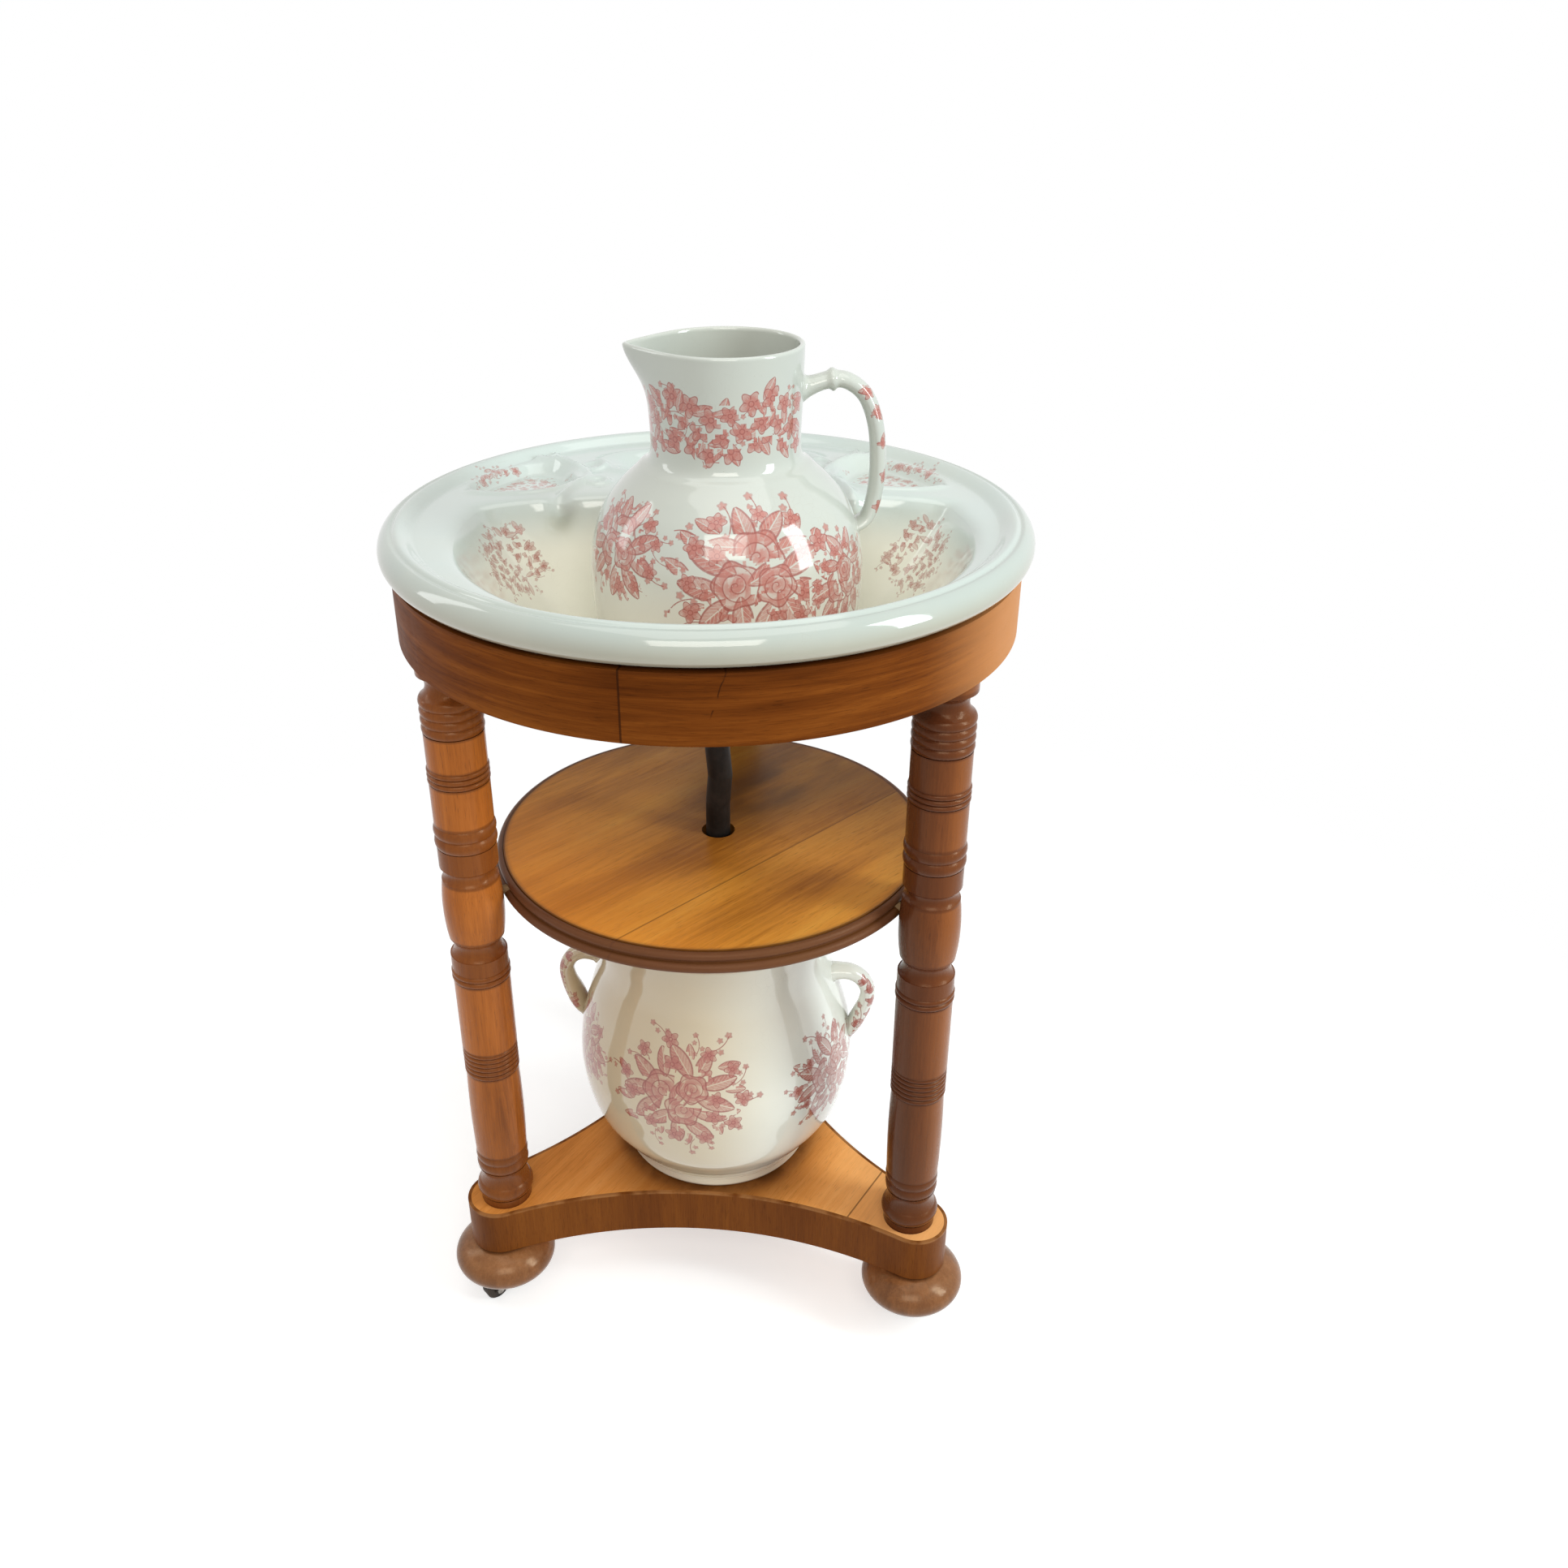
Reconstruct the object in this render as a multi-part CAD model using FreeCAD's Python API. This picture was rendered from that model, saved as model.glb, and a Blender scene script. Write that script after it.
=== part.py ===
import FreeCAD
import Part

import math
import os

from FreeCAD import Vector

# Tripod washstand: a ceramic basin in a round apron on three turned legs, with a drain pipe, a shelf,
# a three-lobed base on bun feet and casters, a jug in the bowl and a slop pail on the base.
# Millimetres, +Z up, origin on the stand's axis at the floor, front towards -Y.

# Layout
leg_places = (("front_left", -150.0), ("front_right", -30.0), ("rear", 90.0))
ceramics_turn = 6.7
cut_overrun = 5.0
glue_gap = 0.1
pin_clearance = 0.05
standing_gap = 0.2

# Heights of the stand's tiers
caster_height = 29.0
foot_height = 51.8
base_thickness = 49.1
pail_headroom = 57.2
shelf_drop = 221.5
apron_height = 56.2

# Legs
leg_radius = 25.6
leg_inset = 30.7
leg_foot_tenon_radius = 12.0
leg_foot_tenon_length = 24.0
leg_top_tenon_radius = 10.0
leg_top_tenon_length = 18.0

# Turned bands from the foot up: count, rise of the band, radius at its edges, radius at its middle
leg_turning_shares = (
    (1, 0.014, 0.96, 0.96),
    (1, 0.026, 0.94, 1.06),
    (1, 0.032, 0.94, 0.86),
    (2, 0.018, 0.92, 0.97),
    (1, 0.166, 0.95, 0.99),
    (6, 0.0085, 0.93, 0.99),
    (1, 0.130, 0.99, 0.99),
    (2, 0.010, 0.97, 1.03),
    (1, 0.026, 0.99, 0.99),
    (1, 0.031, 0.96, 0.83),
    (1, 0.103, 0.96, 1.05),
    (1, 0.022, 0.97, 0.86),
    (1, 0.034, 1.00, 1.00),
    (2, 0.019, 0.98, 1.05),
    (1, 0.067, 1.00, 1.00),
    (3, 0.0086, 0.97, 1.03),
    (1, 0.053, 0.99, 0.99),
    (4, 0.0138, 0.96, 1.02),
    (1, 0.034, 0.96, 0.74),
    (1, 0.024, 1.00, 1.00),
)

# Apron and corner blocks
apron_radius = 261.7
apron_wall = 18.0
apron_segments = 4
apron_joint_angle = -97.4
block_width = 74.0
block_height = 22.0
block_depth = 27.7
block_screw_radius = 1.8
block_screw_head_radius = 3.6
block_screw_head_length = 3.0
block_screw_length = 36.0
block_screw_spread = 46.0

# Shelf
shelf_thickness = 21.0
shelf_moulding_depth = 9.0
shelf_quirk = 1.2
shelf_upper_bead_height = 7.0
shelf_upper_bead_inset = 3.0
shelf_groove_depth = 5.0
shelf_groove_height = 1.6
shelf_lower_bead_height = 9.0
shelf_undercut = 8.0
shelf_hole_radius = 15.5
shelf_joint_angle = -40.5
shelf_joint_distance = 74.1
shelf_leg_gap = 0.46
dowel_radius = 4.0
dowel_length = 32.0

# Base and its edge facing
base_waist = 102.5
base_lobe_radius = 31.0
facing_thickness = 3.0
base_joint_angle = -27.7
base_end_length = 57.5

# Bun feet
foot_radius = 49.9
foot_outset = 7.8
foot_spigot_radius = 12.0
foot_spigot_length = 20.0
foot_flat_height = 2.0
foot_neck_radius = 25.0

# Casters
caster_trail = 16.5
caster_turns = (226.0, 86.0, 150.0)
wheel_radius = 12.5
wheel_width = 13.0
wheel_rounding = 1.5
axle_radius = 2.5
axle_head_radius = 3.6
axle_head_length = 1.2
horn_side_gap = 0.3
horn_cheek = 2.2
horn_bridge = 2.8
horn_hub_radius = 7.5
horn_eye_radius = 5.0
plate_radius = 17.0
plate_thickness = 2.4
stem_radius = 3.5
stem_head_radius = 5.0
stem_head_length = 2.0
swivel_gap = 0.3
plate_screw_radius = 1.6
plate_screw_head_radius = 2.8
plate_screw_head_length = 1.4
plate_screw_length = 16.0
plate_screw_circle = 12.0
plate_screw_count = 3

# Basin
rim_overhang = 8.3
rim_roll_radius = 16.2
rim_seat_width = 7.5
flange_drop = 7.5
flange_thickness = 9.0
bowl_offset_x = 6.0
bowl_offset_y = -27.0
bowl_margin = 58.0
bowl_depth = 134.9
bowl_floor_radius = 116.0
bowl_heel_rise = 7.0
bowl_wall = 8.0
bowl_back = 104.0
bowl_middle_radius_share = 0.822
bowl_middle_depth_share = 0.445
well_clearance = 6.0
well_wall = 7.0
well_rim_gap = 1.6
side_well_half_length = 54.0
side_well_half_width = 37.0
side_well_bearing = 35.5
side_well_inset = 32.0
side_well_tilt = 12.0
middle_well_half_length = 88.0
middle_well_half_width = 40.0
middle_well_inset = 72.0

# Waste, plug and drain pipe, on one axis beside the stand's own
drain_x = 5.0
waste_flange_radius = 29.0
waste_flange_thickness = 3.0
waste_thread_radius = 19.0
waste_bore_radius = 14.5
waste_length = 58.0
plug_thickness = 9.0
plug_rim = 2.0
plug_taper = 1.5
washer_radius = 27.0
washer_thickness = 3.0
backnut_width = 54.0
backnut_thickness = 9.0
union_width = 48.0
union_height = 20.0
union_wall = 5.0
pipe_radius = 11.3
pipe_bore_radius = 8.8
pipe_collar_radius = 16.5
pipe_collar_thickness = 3.0
pipe_end_below_shelf = 16.0
pipe_kink_share = 0.58
pipe_kink_offset = 2.5

# Jug
jug_x = 15.0
jug_y = -45.0
jug_height = 286.0
jug_radius = 110.0
jug_neck_radius = 60.0
jug_rim_flare = 1.0
jug_foot_radius = 86.0
jug_foot_recess = 6.0
jug_foot_ring = 7.0
jug_wall = 5.0
jug_spout_reach = 17.0
jug_spout_drop = 36.0
jug_spout_half_width = 30.0
jug_handle_half_thickness = 7.5
jug_handle_half_width = 9.5
jug_handle_drop = 28.0
jug_handle_reach = 119.0
jug_handle_bend = 41.0
jug_handle_straight = 24.0
jug_handle_root_sink = 7.5
jug_spout_bearing = 180.0
jug_shoulder_shares = (0.507, 0.95)
jug_outline_shares = (
    (0.07, 0.909),
    (0.157, 0.957),
    (0.245, 0.985),
    (0.332, 0.998),
    (0.42, 0.996),
    jug_shoulder_shares,
    (0.577, 0.867),
    (0.629, 0.757),
    (0.675, 0.63),
    (0.717, 0.54),
)

# Slop pail
pail_height = 284.0
pail_radius = 137.0
pail_foot_radius = 93.0
pail_foot_recess = 6.0
pail_foot_ring = 8.0
pail_wall = 5.5
pail_turn = -8.0
pail_outline_shares = (
    (0.045, 0.70),
    (0.075, 0.74),
    (0.13, 0.82),
    (0.21, 0.92),
    (0.315, 0.982),
    (0.42, 0.998),
    (0.53, 0.95),
    (0.65, 0.876),
    (0.79, 0.809),
    (0.91, 0.832),
    (1.0, 0.868),
)
pail_handle_half_thickness = 7.0
pail_handle_half_width = 9.5
pail_handle_height = 211.0
pail_handle_reach = 152.0
pail_handle_bend = 17.0
pail_handle_turn = 118.0
pail_handle_tail = 56.0

# Levels and places that follow from the sizes above
foot_bottom = caster_height
base_bottom = foot_bottom + foot_height
base_top = base_bottom + base_thickness
shelf_bottom = base_top + standing_gap + pail_height + pail_headroom
shelf_top = shelf_bottom + shelf_thickness
apron_bottom = shelf_top + shelf_drop
apron_top = apron_bottom + apron_height
leg_length = apron_bottom - base_top
apron_inner_radius = apron_radius - apron_wall
leg_circle_radius = apron_radius - leg_inset
leg_reach = leg_radius * max(middle for count, rise, edge, middle in leg_turning_shares)
foot_circle_radius = leg_circle_radius + foot_outset
block_inner_radius = apron_inner_radius - block_depth
base_joint_distance = foot_circle_radius - base_end_length
shelf_radius = leg_circle_radius - leg_reach - shelf_leg_gap
rim_radius = apron_radius + rim_overhang
rim_roll_circle = rim_radius - rim_roll_radius
rim_roll_inner = rim_roll_circle - rim_roll_radius
well_rim_radius = rim_roll_inner - well_rim_gap
bowl_radius = rim_radius - bowl_margin
rim_crest = apron_top + 2 * rim_roll_radius
flange_top = rim_crest - flange_drop
flange_bottom = flange_top - flange_thickness
well_bottom = apron_top + well_clearance
well_floor = well_bottom + well_wall
bowl_floor = flange_top - bowl_depth
bowl_underside = bowl_floor - bowl_wall
waste_bottom = bowl_floor - waste_length
collar_top = waste_bottom - glue_gap
collar_bottom = collar_top - pipe_collar_thickness
union_bottom = collar_bottom - union_wall
union_top = union_bottom + union_height
pipe_bottom = shelf_bottom - pipe_end_below_shelf
plate_top = foot_bottom + foot_flat_height
plate_bottom = plate_top - plate_thickness
horn_top = plate_bottom - swivel_gap
bridge_bottom = horn_top - horn_bridge
stem_head_top = bridge_bottom - swivel_gap
cheek_inner = wheel_width / 2 + horn_side_gap
cheek_outer = cheek_inner + horn_cheek
full_turn = 360.0
origin = Vector(0, 0, 0)
drain = Vector(drain_x, 0, 0)
up = Vector(0, 0, 1)


def polar(radius, angle, z=0):
    """Point at a radius and a bearing in degrees."""
    return Vector(radius * math.cos(math.radians(angle)), radius * math.sin(math.radians(angle)), z)


def outline(start, steps):
    """Closed wire in the XZ plane: a step is an end point, or a middle and an end point for an arc."""
    first = Vector(start[0], 0, start[1])
    here = first
    edges = []
    for step in steps:
        points = [Vector(x, 0, z) for x, z in step]
        if len(points) == 2:
            edges.append(Part.Arc(here, points[0], points[1]).toShape())
        else:
            edges.append(Part.LineSegment(here, points[0]).toShape())
        here = points[-1]
    edges.append(Part.LineSegment(here, first).toShape())
    return Part.Wire(edges)


def rectangle_steps(width, bottom, top):
    return [(width, bottom)], [(width, top)], [(0, top)]


def turned(start, steps):
    """Solid turned about the Z axis from its half outline."""
    return Part.Face(outline(start, steps)).revolve(origin, up, full_turn)


def cylinder(radius, bottom, top, at=origin):
    return Part.makeCylinder(radius, top - bottom, Vector(at.x, at.y, bottom))


def ring(outer, inner, bottom, top):
    return cylinder(outer, bottom, top).cut(cylinder(inner, bottom - cut_overrun, top + cut_overrun))


def hexagon(width, bottom, top):
    """Hexagonal prism by its width across flats."""
    sides = 6
    corner = width / 2 / math.cos(math.pi / sides)
    points = [polar(corner, full_turn * k / sides, bottom) for k in range(sides + 1)]
    return Part.Face(Part.makePolygon(points)).extrude(Vector(0, 0, top - bottom))


def rotated(shape, angle, about=origin):
    copy = shape.copy()
    copy.rotate(about, up, angle)
    return copy


def moved(shape, offset):
    copy = shape.copy()
    copy.translate(offset)
    return copy


def wedge(start_angle, end_angle, radius, bottom, top):
    """Sector of a disc between two bearings less than a half turn apart."""
    reach = radius / math.cos(math.radians(end_angle - start_angle) / 2)
    points = [origin, polar(reach, start_angle), polar(reach, end_angle), origin]
    sector = Part.Face(Part.makePolygon(points)).extrude(Vector(0, 0, top - bottom))
    return moved(sector, Vector(0, 0, bottom))


def half_space(angle, distance, size, bottom, top):
    """Block on the far side of the upright plane at a distance along a bearing."""
    block = Part.makeBox(size, 2 * size, top - bottom, Vector(distance, -size, bottom))
    return rotated(block, angle)


def strap_along(path, half_thickness, half_width):
    """Oval strap swept along a path of lines and tangent arcs in the XZ plane that starts along X."""
    start = path.Vertexes[0].Point
    section = Part.Ellipse(start + Vector(0, half_width, 0), start + up * half_thickness, start)
    return path.makePipeShell([Part.Wire(section.toShape())], True, False)


def screw(radius, head_radius, head_length, length):
    """Countersunk wood screw, head up, with the top of its head at the origin."""
    steps = (
        [(head_radius, 0)],
        [(radius, -head_length)],
        [(radius, radius - length)],
        [(0, -length)],
    )
    return turned((0, 0), steps)


def leg_profile_steps():
    """Steps of the turned outline from the foot of a leg to its top."""
    rises = sum(count * rise for count, rise, edge, middle in leg_turning_shares)
    unit = leg_length / rises
    z = base_top
    steps = []
    for count, rise, edge, middle in leg_turning_shares:
        for band in range(count):
            start = (edge * leg_radius, z)
            if not steps or steps[-1][-1] != start:
                steps.append([start])
            half = rise * unit / 2
            end = (edge * leg_radius, z + 2 * half)
            if middle == edge:
                steps.append([end])
            else:
                steps.append([(middle * leg_radius, z + half), end])
            z += 2 * half
    return steps


def leg(angle):
    foot = base_top - leg_foot_tenon_length
    top = apron_bottom + leg_top_tenon_length
    steps = [[(leg_foot_tenon_radius, foot)], [(leg_foot_tenon_radius, base_top)]]
    steps += leg_profile_steps()
    steps += [[(leg_top_tenon_radius, apron_bottom)], [(leg_top_tenon_radius, top)], [(0, top)]]
    body = moved(turned((0, foot), steps), polar(leg_circle_radius, angle))
    return body.cut(dowel(angle, glue_gap))


def dowel(angle, gap=0):
    """Dowel between the shelf's edge and a leg, or its hole where a gap is given."""
    middle = leg_circle_radius - leg_radius
    length = dowel_length + 2 * gap
    level = shelf_top - shelf_thickness / 2
    start = polar(middle - length / 2, angle, level)
    return Part.makeCylinder(dowel_radius + gap, length, start, polar(1, angle))


def apron_ring():
    return ring(apron_radius, apron_inner_radius, apron_bottom, apron_top)


def block_screw_places(angle):
    """Axis points of a block's screws on its inner face, heads towards the stand's axis."""
    level = apron_bottom + block_height / 2
    for spread in (-block_screw_spread / 2, block_screw_spread / 2):
        across = Vector(-math.sin(math.radians(angle)), math.cos(math.radians(angle)), 0)
        yield polar(block_inner_radius, angle, level) + across * spread


def block_screws(angle, gap=0):
    shapes = []
    for place in block_screw_places(angle):
        shape = screw(
            block_screw_radius + gap,
            block_screw_head_radius + gap,
            block_screw_head_length,
            block_screw_length + gap,
        )
        shape.rotate(origin, Vector(0, 1, 0), -90)
        shapes.append(moved(rotated(shape, angle), place))
    return shapes


def leg_block(angle):
    """Corner block behind the apron that takes a leg's top tenon."""
    depth = apron_radius - block_inner_radius
    block = Part.makeBox(
        depth, block_width, block_height, Vector(block_inner_radius, -block_width / 2, apron_bottom)
    )
    block = rotated(block, angle)
    block = block.common(cylinder(apron_inner_radius - glue_gap, apron_bottom, apron_top))
    tenon = cylinder(
        leg_top_tenon_radius + pin_clearance,
        apron_bottom - cut_overrun,
        apron_bottom + leg_top_tenon_length + glue_gap,
        polar(leg_circle_radius, angle),
    )
    return block.cut([tenon] + block_screws(angle, glue_gap))


def apron_segment(index):
    span = full_turn / apron_segments
    start = apron_joint_angle + index * span
    sector = wedge(start, start + span, apron_radius, apron_bottom, apron_top)
    holes = [hole for name, angle in leg_places for hole in block_screws(angle, glue_gap)]
    return apron_ring().common(sector).cut(holes)


def shelf_boards():
    """Main board and side board, edge to edge along a slanting joint."""
    disc = shelf_disc()
    low = shelf_bottom - cut_overrun
    high = shelf_top + cut_overrun
    far = half_space(shelf_joint_angle, shelf_joint_distance, 2 * shelf_radius, low, high)
    return disc.cut(far), disc.common(far)


def shelf_disc():
    """Round shelf with a moulded edge: quirk, bead, groove and larger bead over an undercut."""
    quirk = shelf_top - shelf_quirk
    groove_top = quirk - shelf_upper_bead_height
    groove_bottom = groove_top - shelf_groove_height
    bead_bottom = groove_bottom - shelf_lower_bead_height
    inner = shelf_radius - shelf_moulding_depth
    groove = shelf_radius - shelf_groove_depth
    upper_bead = (shelf_radius - shelf_upper_bead_inset, quirk - shelf_upper_bead_height / 2)
    lower_bead = (shelf_radius, groove_bottom - shelf_lower_bead_height / 2)
    steps = (
        [(inner, shelf_top)],
        [(inner, quirk)],
        [upper_bead, (groove, groove_top)],
        [(groove, groove_bottom)],
        [lower_bead, (groove, bead_bottom)],
        [(shelf_radius - shelf_undercut, shelf_bottom)],
        [(0, shelf_bottom)],
    )
    disc = turned((0, shelf_top), steps)
    cuts = [cylinder(shelf_hole_radius, shelf_bottom - cut_overrun, shelf_top + cut_overrun, drain)]
    cuts += [dowel(angle, glue_gap) for name, angle in leg_places]
    return disc.cut(cuts)


def base_outline(inset):
    """Three lobes joined by tangent hollow arcs, drawn in by an inset."""
    lobe = base_lobe_radius - inset
    waist = base_waist - inset
    along = foot_circle_radius * math.cos(math.radians(60))
    lateral = foot_circle_radius * math.sin(math.radians(60))
    rise = along - waist
    hollow = (rise**2 + lateral**2 - lobe**2) / (2 * (lobe + rise))
    edges = []
    for name, angle in leg_places:
        centre = polar(foot_circle_radius, angle)
        ends = []
        for turn in (-60, 60):
            hollow_centre = polar(waist + hollow, angle + turn)
            towards = hollow_centre - centre
            ends.append(centre + towards * (lobe / towards.Length))
        edges.append(Part.Arc(ends[0], centre + polar(lobe, angle), ends[1]).toShape())
        following = polar(foot_circle_radius, angle + 120)
        towards = polar(waist + hollow, angle + 60) - following
        start_of_next = following + towards * (lobe / towards.Length)
        edges.append(Part.Arc(ends[1], polar(waist, angle + 60), start_of_next).toShape())
    return Part.Wire(Part.__sortEdges__(edges))


def base_plate(inset):
    plate = Part.Face(base_outline(inset)).extrude(Vector(0, 0, base_thickness))
    return moved(plate, Vector(0, 0, base_bottom))


def base_core():
    """Base inside its facing, with blind holes for the legs above and the feet below."""
    cuts = []
    for name, angle in leg_places:
        cuts.append(
            cylinder(
                leg_foot_tenon_radius + pin_clearance,
                base_top - leg_foot_tenon_length - glue_gap,
                base_top + cut_overrun,
                polar(leg_circle_radius, angle),
            )
        )
        cuts.append(
            cylinder(
                foot_spigot_radius + pin_clearance,
                base_bottom - cut_overrun,
                base_bottom + foot_spigot_length + glue_gap,
                polar(foot_circle_radius, angle),
            )
        )
    return base_plate(facing_thickness + glue_gap).cut(cuts)


def base_boards():
    """Main board and end board, edge to edge under one front lobe."""
    core = base_core()
    low = base_bottom - cut_overrun
    high = base_top + cut_overrun
    far = half_space(base_joint_angle, base_joint_distance, 2 * foot_circle_radius, low, high)
    return core.cut(far), core.common(far)


def facing_strip(angle):
    """Edge strip round one lobe, from the middle of one hollow side to the next."""
    sector = wedge(
        angle - 60, angle + 60, foot_circle_radius + base_lobe_radius, base_bottom, base_top
    )
    return base_plate(0).cut(base_plate(facing_thickness)).common(sector)


def bun_foot(angle):
    """Turned bun with a spigot into the base and a flat for the caster plate."""
    half = foot_height / 2
    middle = Vector(0, 0, foot_bottom + half)
    oval_edge = Part.Ellipse(middle + Vector(foot_radius, 0, 0), middle + up * half, middle).toShape()
    right_half = outline((0, foot_bottom), rectangle_steps(foot_radius, foot_bottom, base_bottom))
    section = Part.Face(Part.Wire(oval_edge)).common(Part.Face(right_half)).Faces[0]
    bun = section.revolve(origin, up, full_turn)
    neck = cylinder(foot_neck_radius, middle.z, base_bottom)
    spigot = cylinder(foot_spigot_radius, middle.z, base_bottom + foot_spigot_length)
    below_flat = cylinder(foot_radius, foot_bottom - cut_overrun, foot_bottom + foot_flat_height)
    body = bun.fuse([neck, spigot]).cut(below_flat)
    return moved(body, polar(foot_circle_radius, angle)).cut(plate_screws(angle, glue_gap))


def plate_screws(angle, gap=0):
    """Screws that hold a caster plate up under a foot."""
    level = foot_bottom + foot_flat_height - plate_thickness
    shapes = []
    for k in range(plate_screw_count):
        shape = screw(
            plate_screw_radius + gap,
            plate_screw_head_radius + gap,
            plate_screw_head_length,
            plate_screw_length + gap,
        )
        shape.rotate(origin, Vector(1, 0, 0), 180)
        turn = angle + full_turn * k / plate_screw_count
        shapes.append(moved(shape, polar(foot_circle_radius, angle) + polar(plate_screw_circle, turn, level)))
    return shapes


def caster_plate(angle):
    """Round plate with a riveted stem, screwed under the foot."""
    stem_bottom = stem_head_top - stem_head_length
    steps = (
        [(stem_head_radius, stem_bottom)],
        [(stem_head_radius, stem_head_top)],
        [(stem_radius, stem_head_top)],
        [(stem_radius, plate_bottom)],
        [(plate_radius, plate_bottom)],
        [(plate_radius, plate_top)],
        [(0, plate_top)],
    )
    body = moved(turned((0, stem_bottom), steps), polar(foot_circle_radius, angle))
    return body.cut(plate_screws(angle, glue_gap))


def placed_caster(shape, angle, turn):
    """Put a caster piece, drawn with its trail along +X, under its foot."""
    return moved(rotated(shape, turn), polar(foot_circle_radius, angle))


def caster_horn():
    """Swivelling horn: a bridge on the stem and a cheek down each side of the wheel."""
    cheek_points = (
        (-horn_hub_radius, horn_top),
        (caster_trail, horn_top),
        (caster_trail + horn_eye_radius, wheel_radius),
        (caster_trail - horn_eye_radius, wheel_radius),
        (-horn_hub_radius, bridge_bottom),
        (-horn_hub_radius, horn_top),
    )
    face = Part.Face(Part.makePolygon([Vector(x, cheek_inner, z) for x, z in cheek_points]))
    cheek = face.extrude(Vector(0, horn_cheek, 0))
    eye = Part.makeCylinder(
        horn_eye_radius, horn_cheek, Vector(caster_trail, cheek_inner, wheel_radius), Vector(0, 1, 0)
    )
    cheek = cheek.fuse(eye)
    other = moved(cheek, Vector(0, -cheek_inner - cheek_outer, 0))
    bridge = Part.makeBox(
        2 * horn_hub_radius,
        2 * cheek_outer,
        horn_bridge,
        Vector(-horn_hub_radius, -cheek_outer, bridge_bottom),
    )
    bore = cylinder(stem_radius + pin_clearance, bridge_bottom - cut_overrun, horn_top + cut_overrun)
    return cheek.fuse([other, bridge]).cut([bore, axle_bar(axle_radius + pin_clearance)]).removeSplitter()


def axle_bar(radius):
    return Part.makeCylinder(
        radius,
        2 * (cheek_outer + cut_overrun),
        Vector(caster_trail, -cheek_outer - cut_overrun, wheel_radius),
        Vector(0, 1, 0),
    )


def caster_axle():
    """Pin through the cheeks with a head on each end."""
    half = cheek_outer + glue_gap
    start = Vector(caster_trail, -half, wheel_radius)
    pin = Part.makeCylinder(axle_radius, 2 * half, start, Vector(0, 1, 0))
    heads = []
    for side in (-half - axle_head_length, half):
        place = Vector(caster_trail, side, wheel_radius)
        heads.append(Part.makeCylinder(axle_head_radius, axle_head_length, place, Vector(0, 1, 0)))
    return pin.fuse(heads).removeSplitter()


def caster_wheel():
    half = wheel_width / 2
    tread = half - wheel_rounding
    shoulder = wheel_radius - wheel_rounding
    bore = axle_radius + 2 * pin_clearance
    steps = (
        [(shoulder, -half)],
        [(wheel_radius, -tread)],
        [(wheel_radius, tread)],
        [(shoulder, half)],
        [(bore, half)],
    )
    wheel = turned((bore, -half), steps)
    wheel.rotate(origin, Vector(1, 0, 0), 90)
    return moved(wheel, Vector(caster_trail, 0, wheel_radius))


def bowl_shape(grow, floor):
    """Bowl up to the top of the flange, turned about its own axis and cut flat at the back."""
    middle_z = flange_top - bowl_depth * bowl_middle_depth_share
    heel = floor + bowl_heel_rise
    steps = (
        [(bowl_floor_radius + grow - bowl_heel_rise, floor)],
        [(bowl_floor_radius + grow, heel)],
        [(bowl_radius * bowl_middle_radius_share + grow, middle_z), (bowl_radius + grow, flange_top)],
        [(0, flange_top)],
    )
    bowl = turned((0, floor), steps)
    behind = half_space(90, bowl_back + grow, 2 * bowl_radius, floor - cut_overrun, flange_top + cut_overrun)
    return moved(bowl.cut(behind), Vector(bowl_offset_x, bowl_offset_y, 0))


def oval(half_length, half_width, bottom, top, at, tilt):
    """Upright oval prism."""
    edge = Part.Ellipse(origin, half_length, half_width).toShape()
    prism = Part.Face(Part.Wire(edge)).extrude(Vector(0, 0, top - bottom))
    return moved(rotated(prism, tilt), Vector(at.x, at.y, bottom))


def well_places():
    """Soap wells on the wide back of the flange: size, place and tilt of each."""
    for sign in (-1, 1):
        place = polar(rim_roll_inner - side_well_inset, 90 - sign * (90 - side_well_bearing))
        yield side_well_half_length, side_well_half_width, place, -sign * side_well_tilt
    yield middle_well_half_length, middle_well_half_width, polar(rim_roll_inner - middle_well_inset, 90), 0


def wash_basin():
    """Rolled rim and flange with soap wells over a D-shaped bowl with a waste hole."""
    roll_middle = apron_top + rim_roll_radius
    seat_inner = rim_roll_circle - rim_seat_width
    slant = math.sqrt(0.5) * rim_roll_radius
    steps = (
        [(seat_inner, flange_bottom)],
        [(seat_inner, apron_top)],
        [(rim_roll_circle, apron_top)],
        [(rim_radius, roll_middle), (rim_roll_circle, rim_crest)],
        [(rim_roll_circle - slant, roll_middle + slant), (rim_roll_inner, flange_top)],
        [(0, flange_top)],
    )
    body = turned((0, flange_bottom), steps)
    body = body.fuse(bowl_shape(bowl_wall, bowl_underside))
    bosses = []
    wells = []
    for half_length, half_width, place, tilt in well_places():
        outer_length = half_length + well_wall
        outer_width = half_width + well_wall
        bosses.append(oval(outer_length, outer_width, well_bottom, flange_bottom, place, tilt))
        wells.append(oval(half_length, half_width, well_floor, flange_top + cut_overrun, place, tilt))
    boss_limit = cylinder(well_rim_radius + well_wall - glue_gap, well_bottom, flange_bottom)
    well_limit = cylinder(well_rim_radius, well_floor, flange_top + cut_overrun)
    body = body.fuse([boss.common(boss_limit) for boss in bosses])
    body = body.cut([well.common(well_limit) for well in wells] + [bowl_shape(0, bowl_floor)])
    hole = cylinder(waste_thread_radius + glue_gap, bowl_underside - cut_overrun, rim_crest, drain)
    seat = cylinder(waste_flange_radius + glue_gap, bowl_floor - waste_flange_thickness, rim_crest, drain)
    return rotated(body, ceramics_turn).cut([hole, seat])


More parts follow.
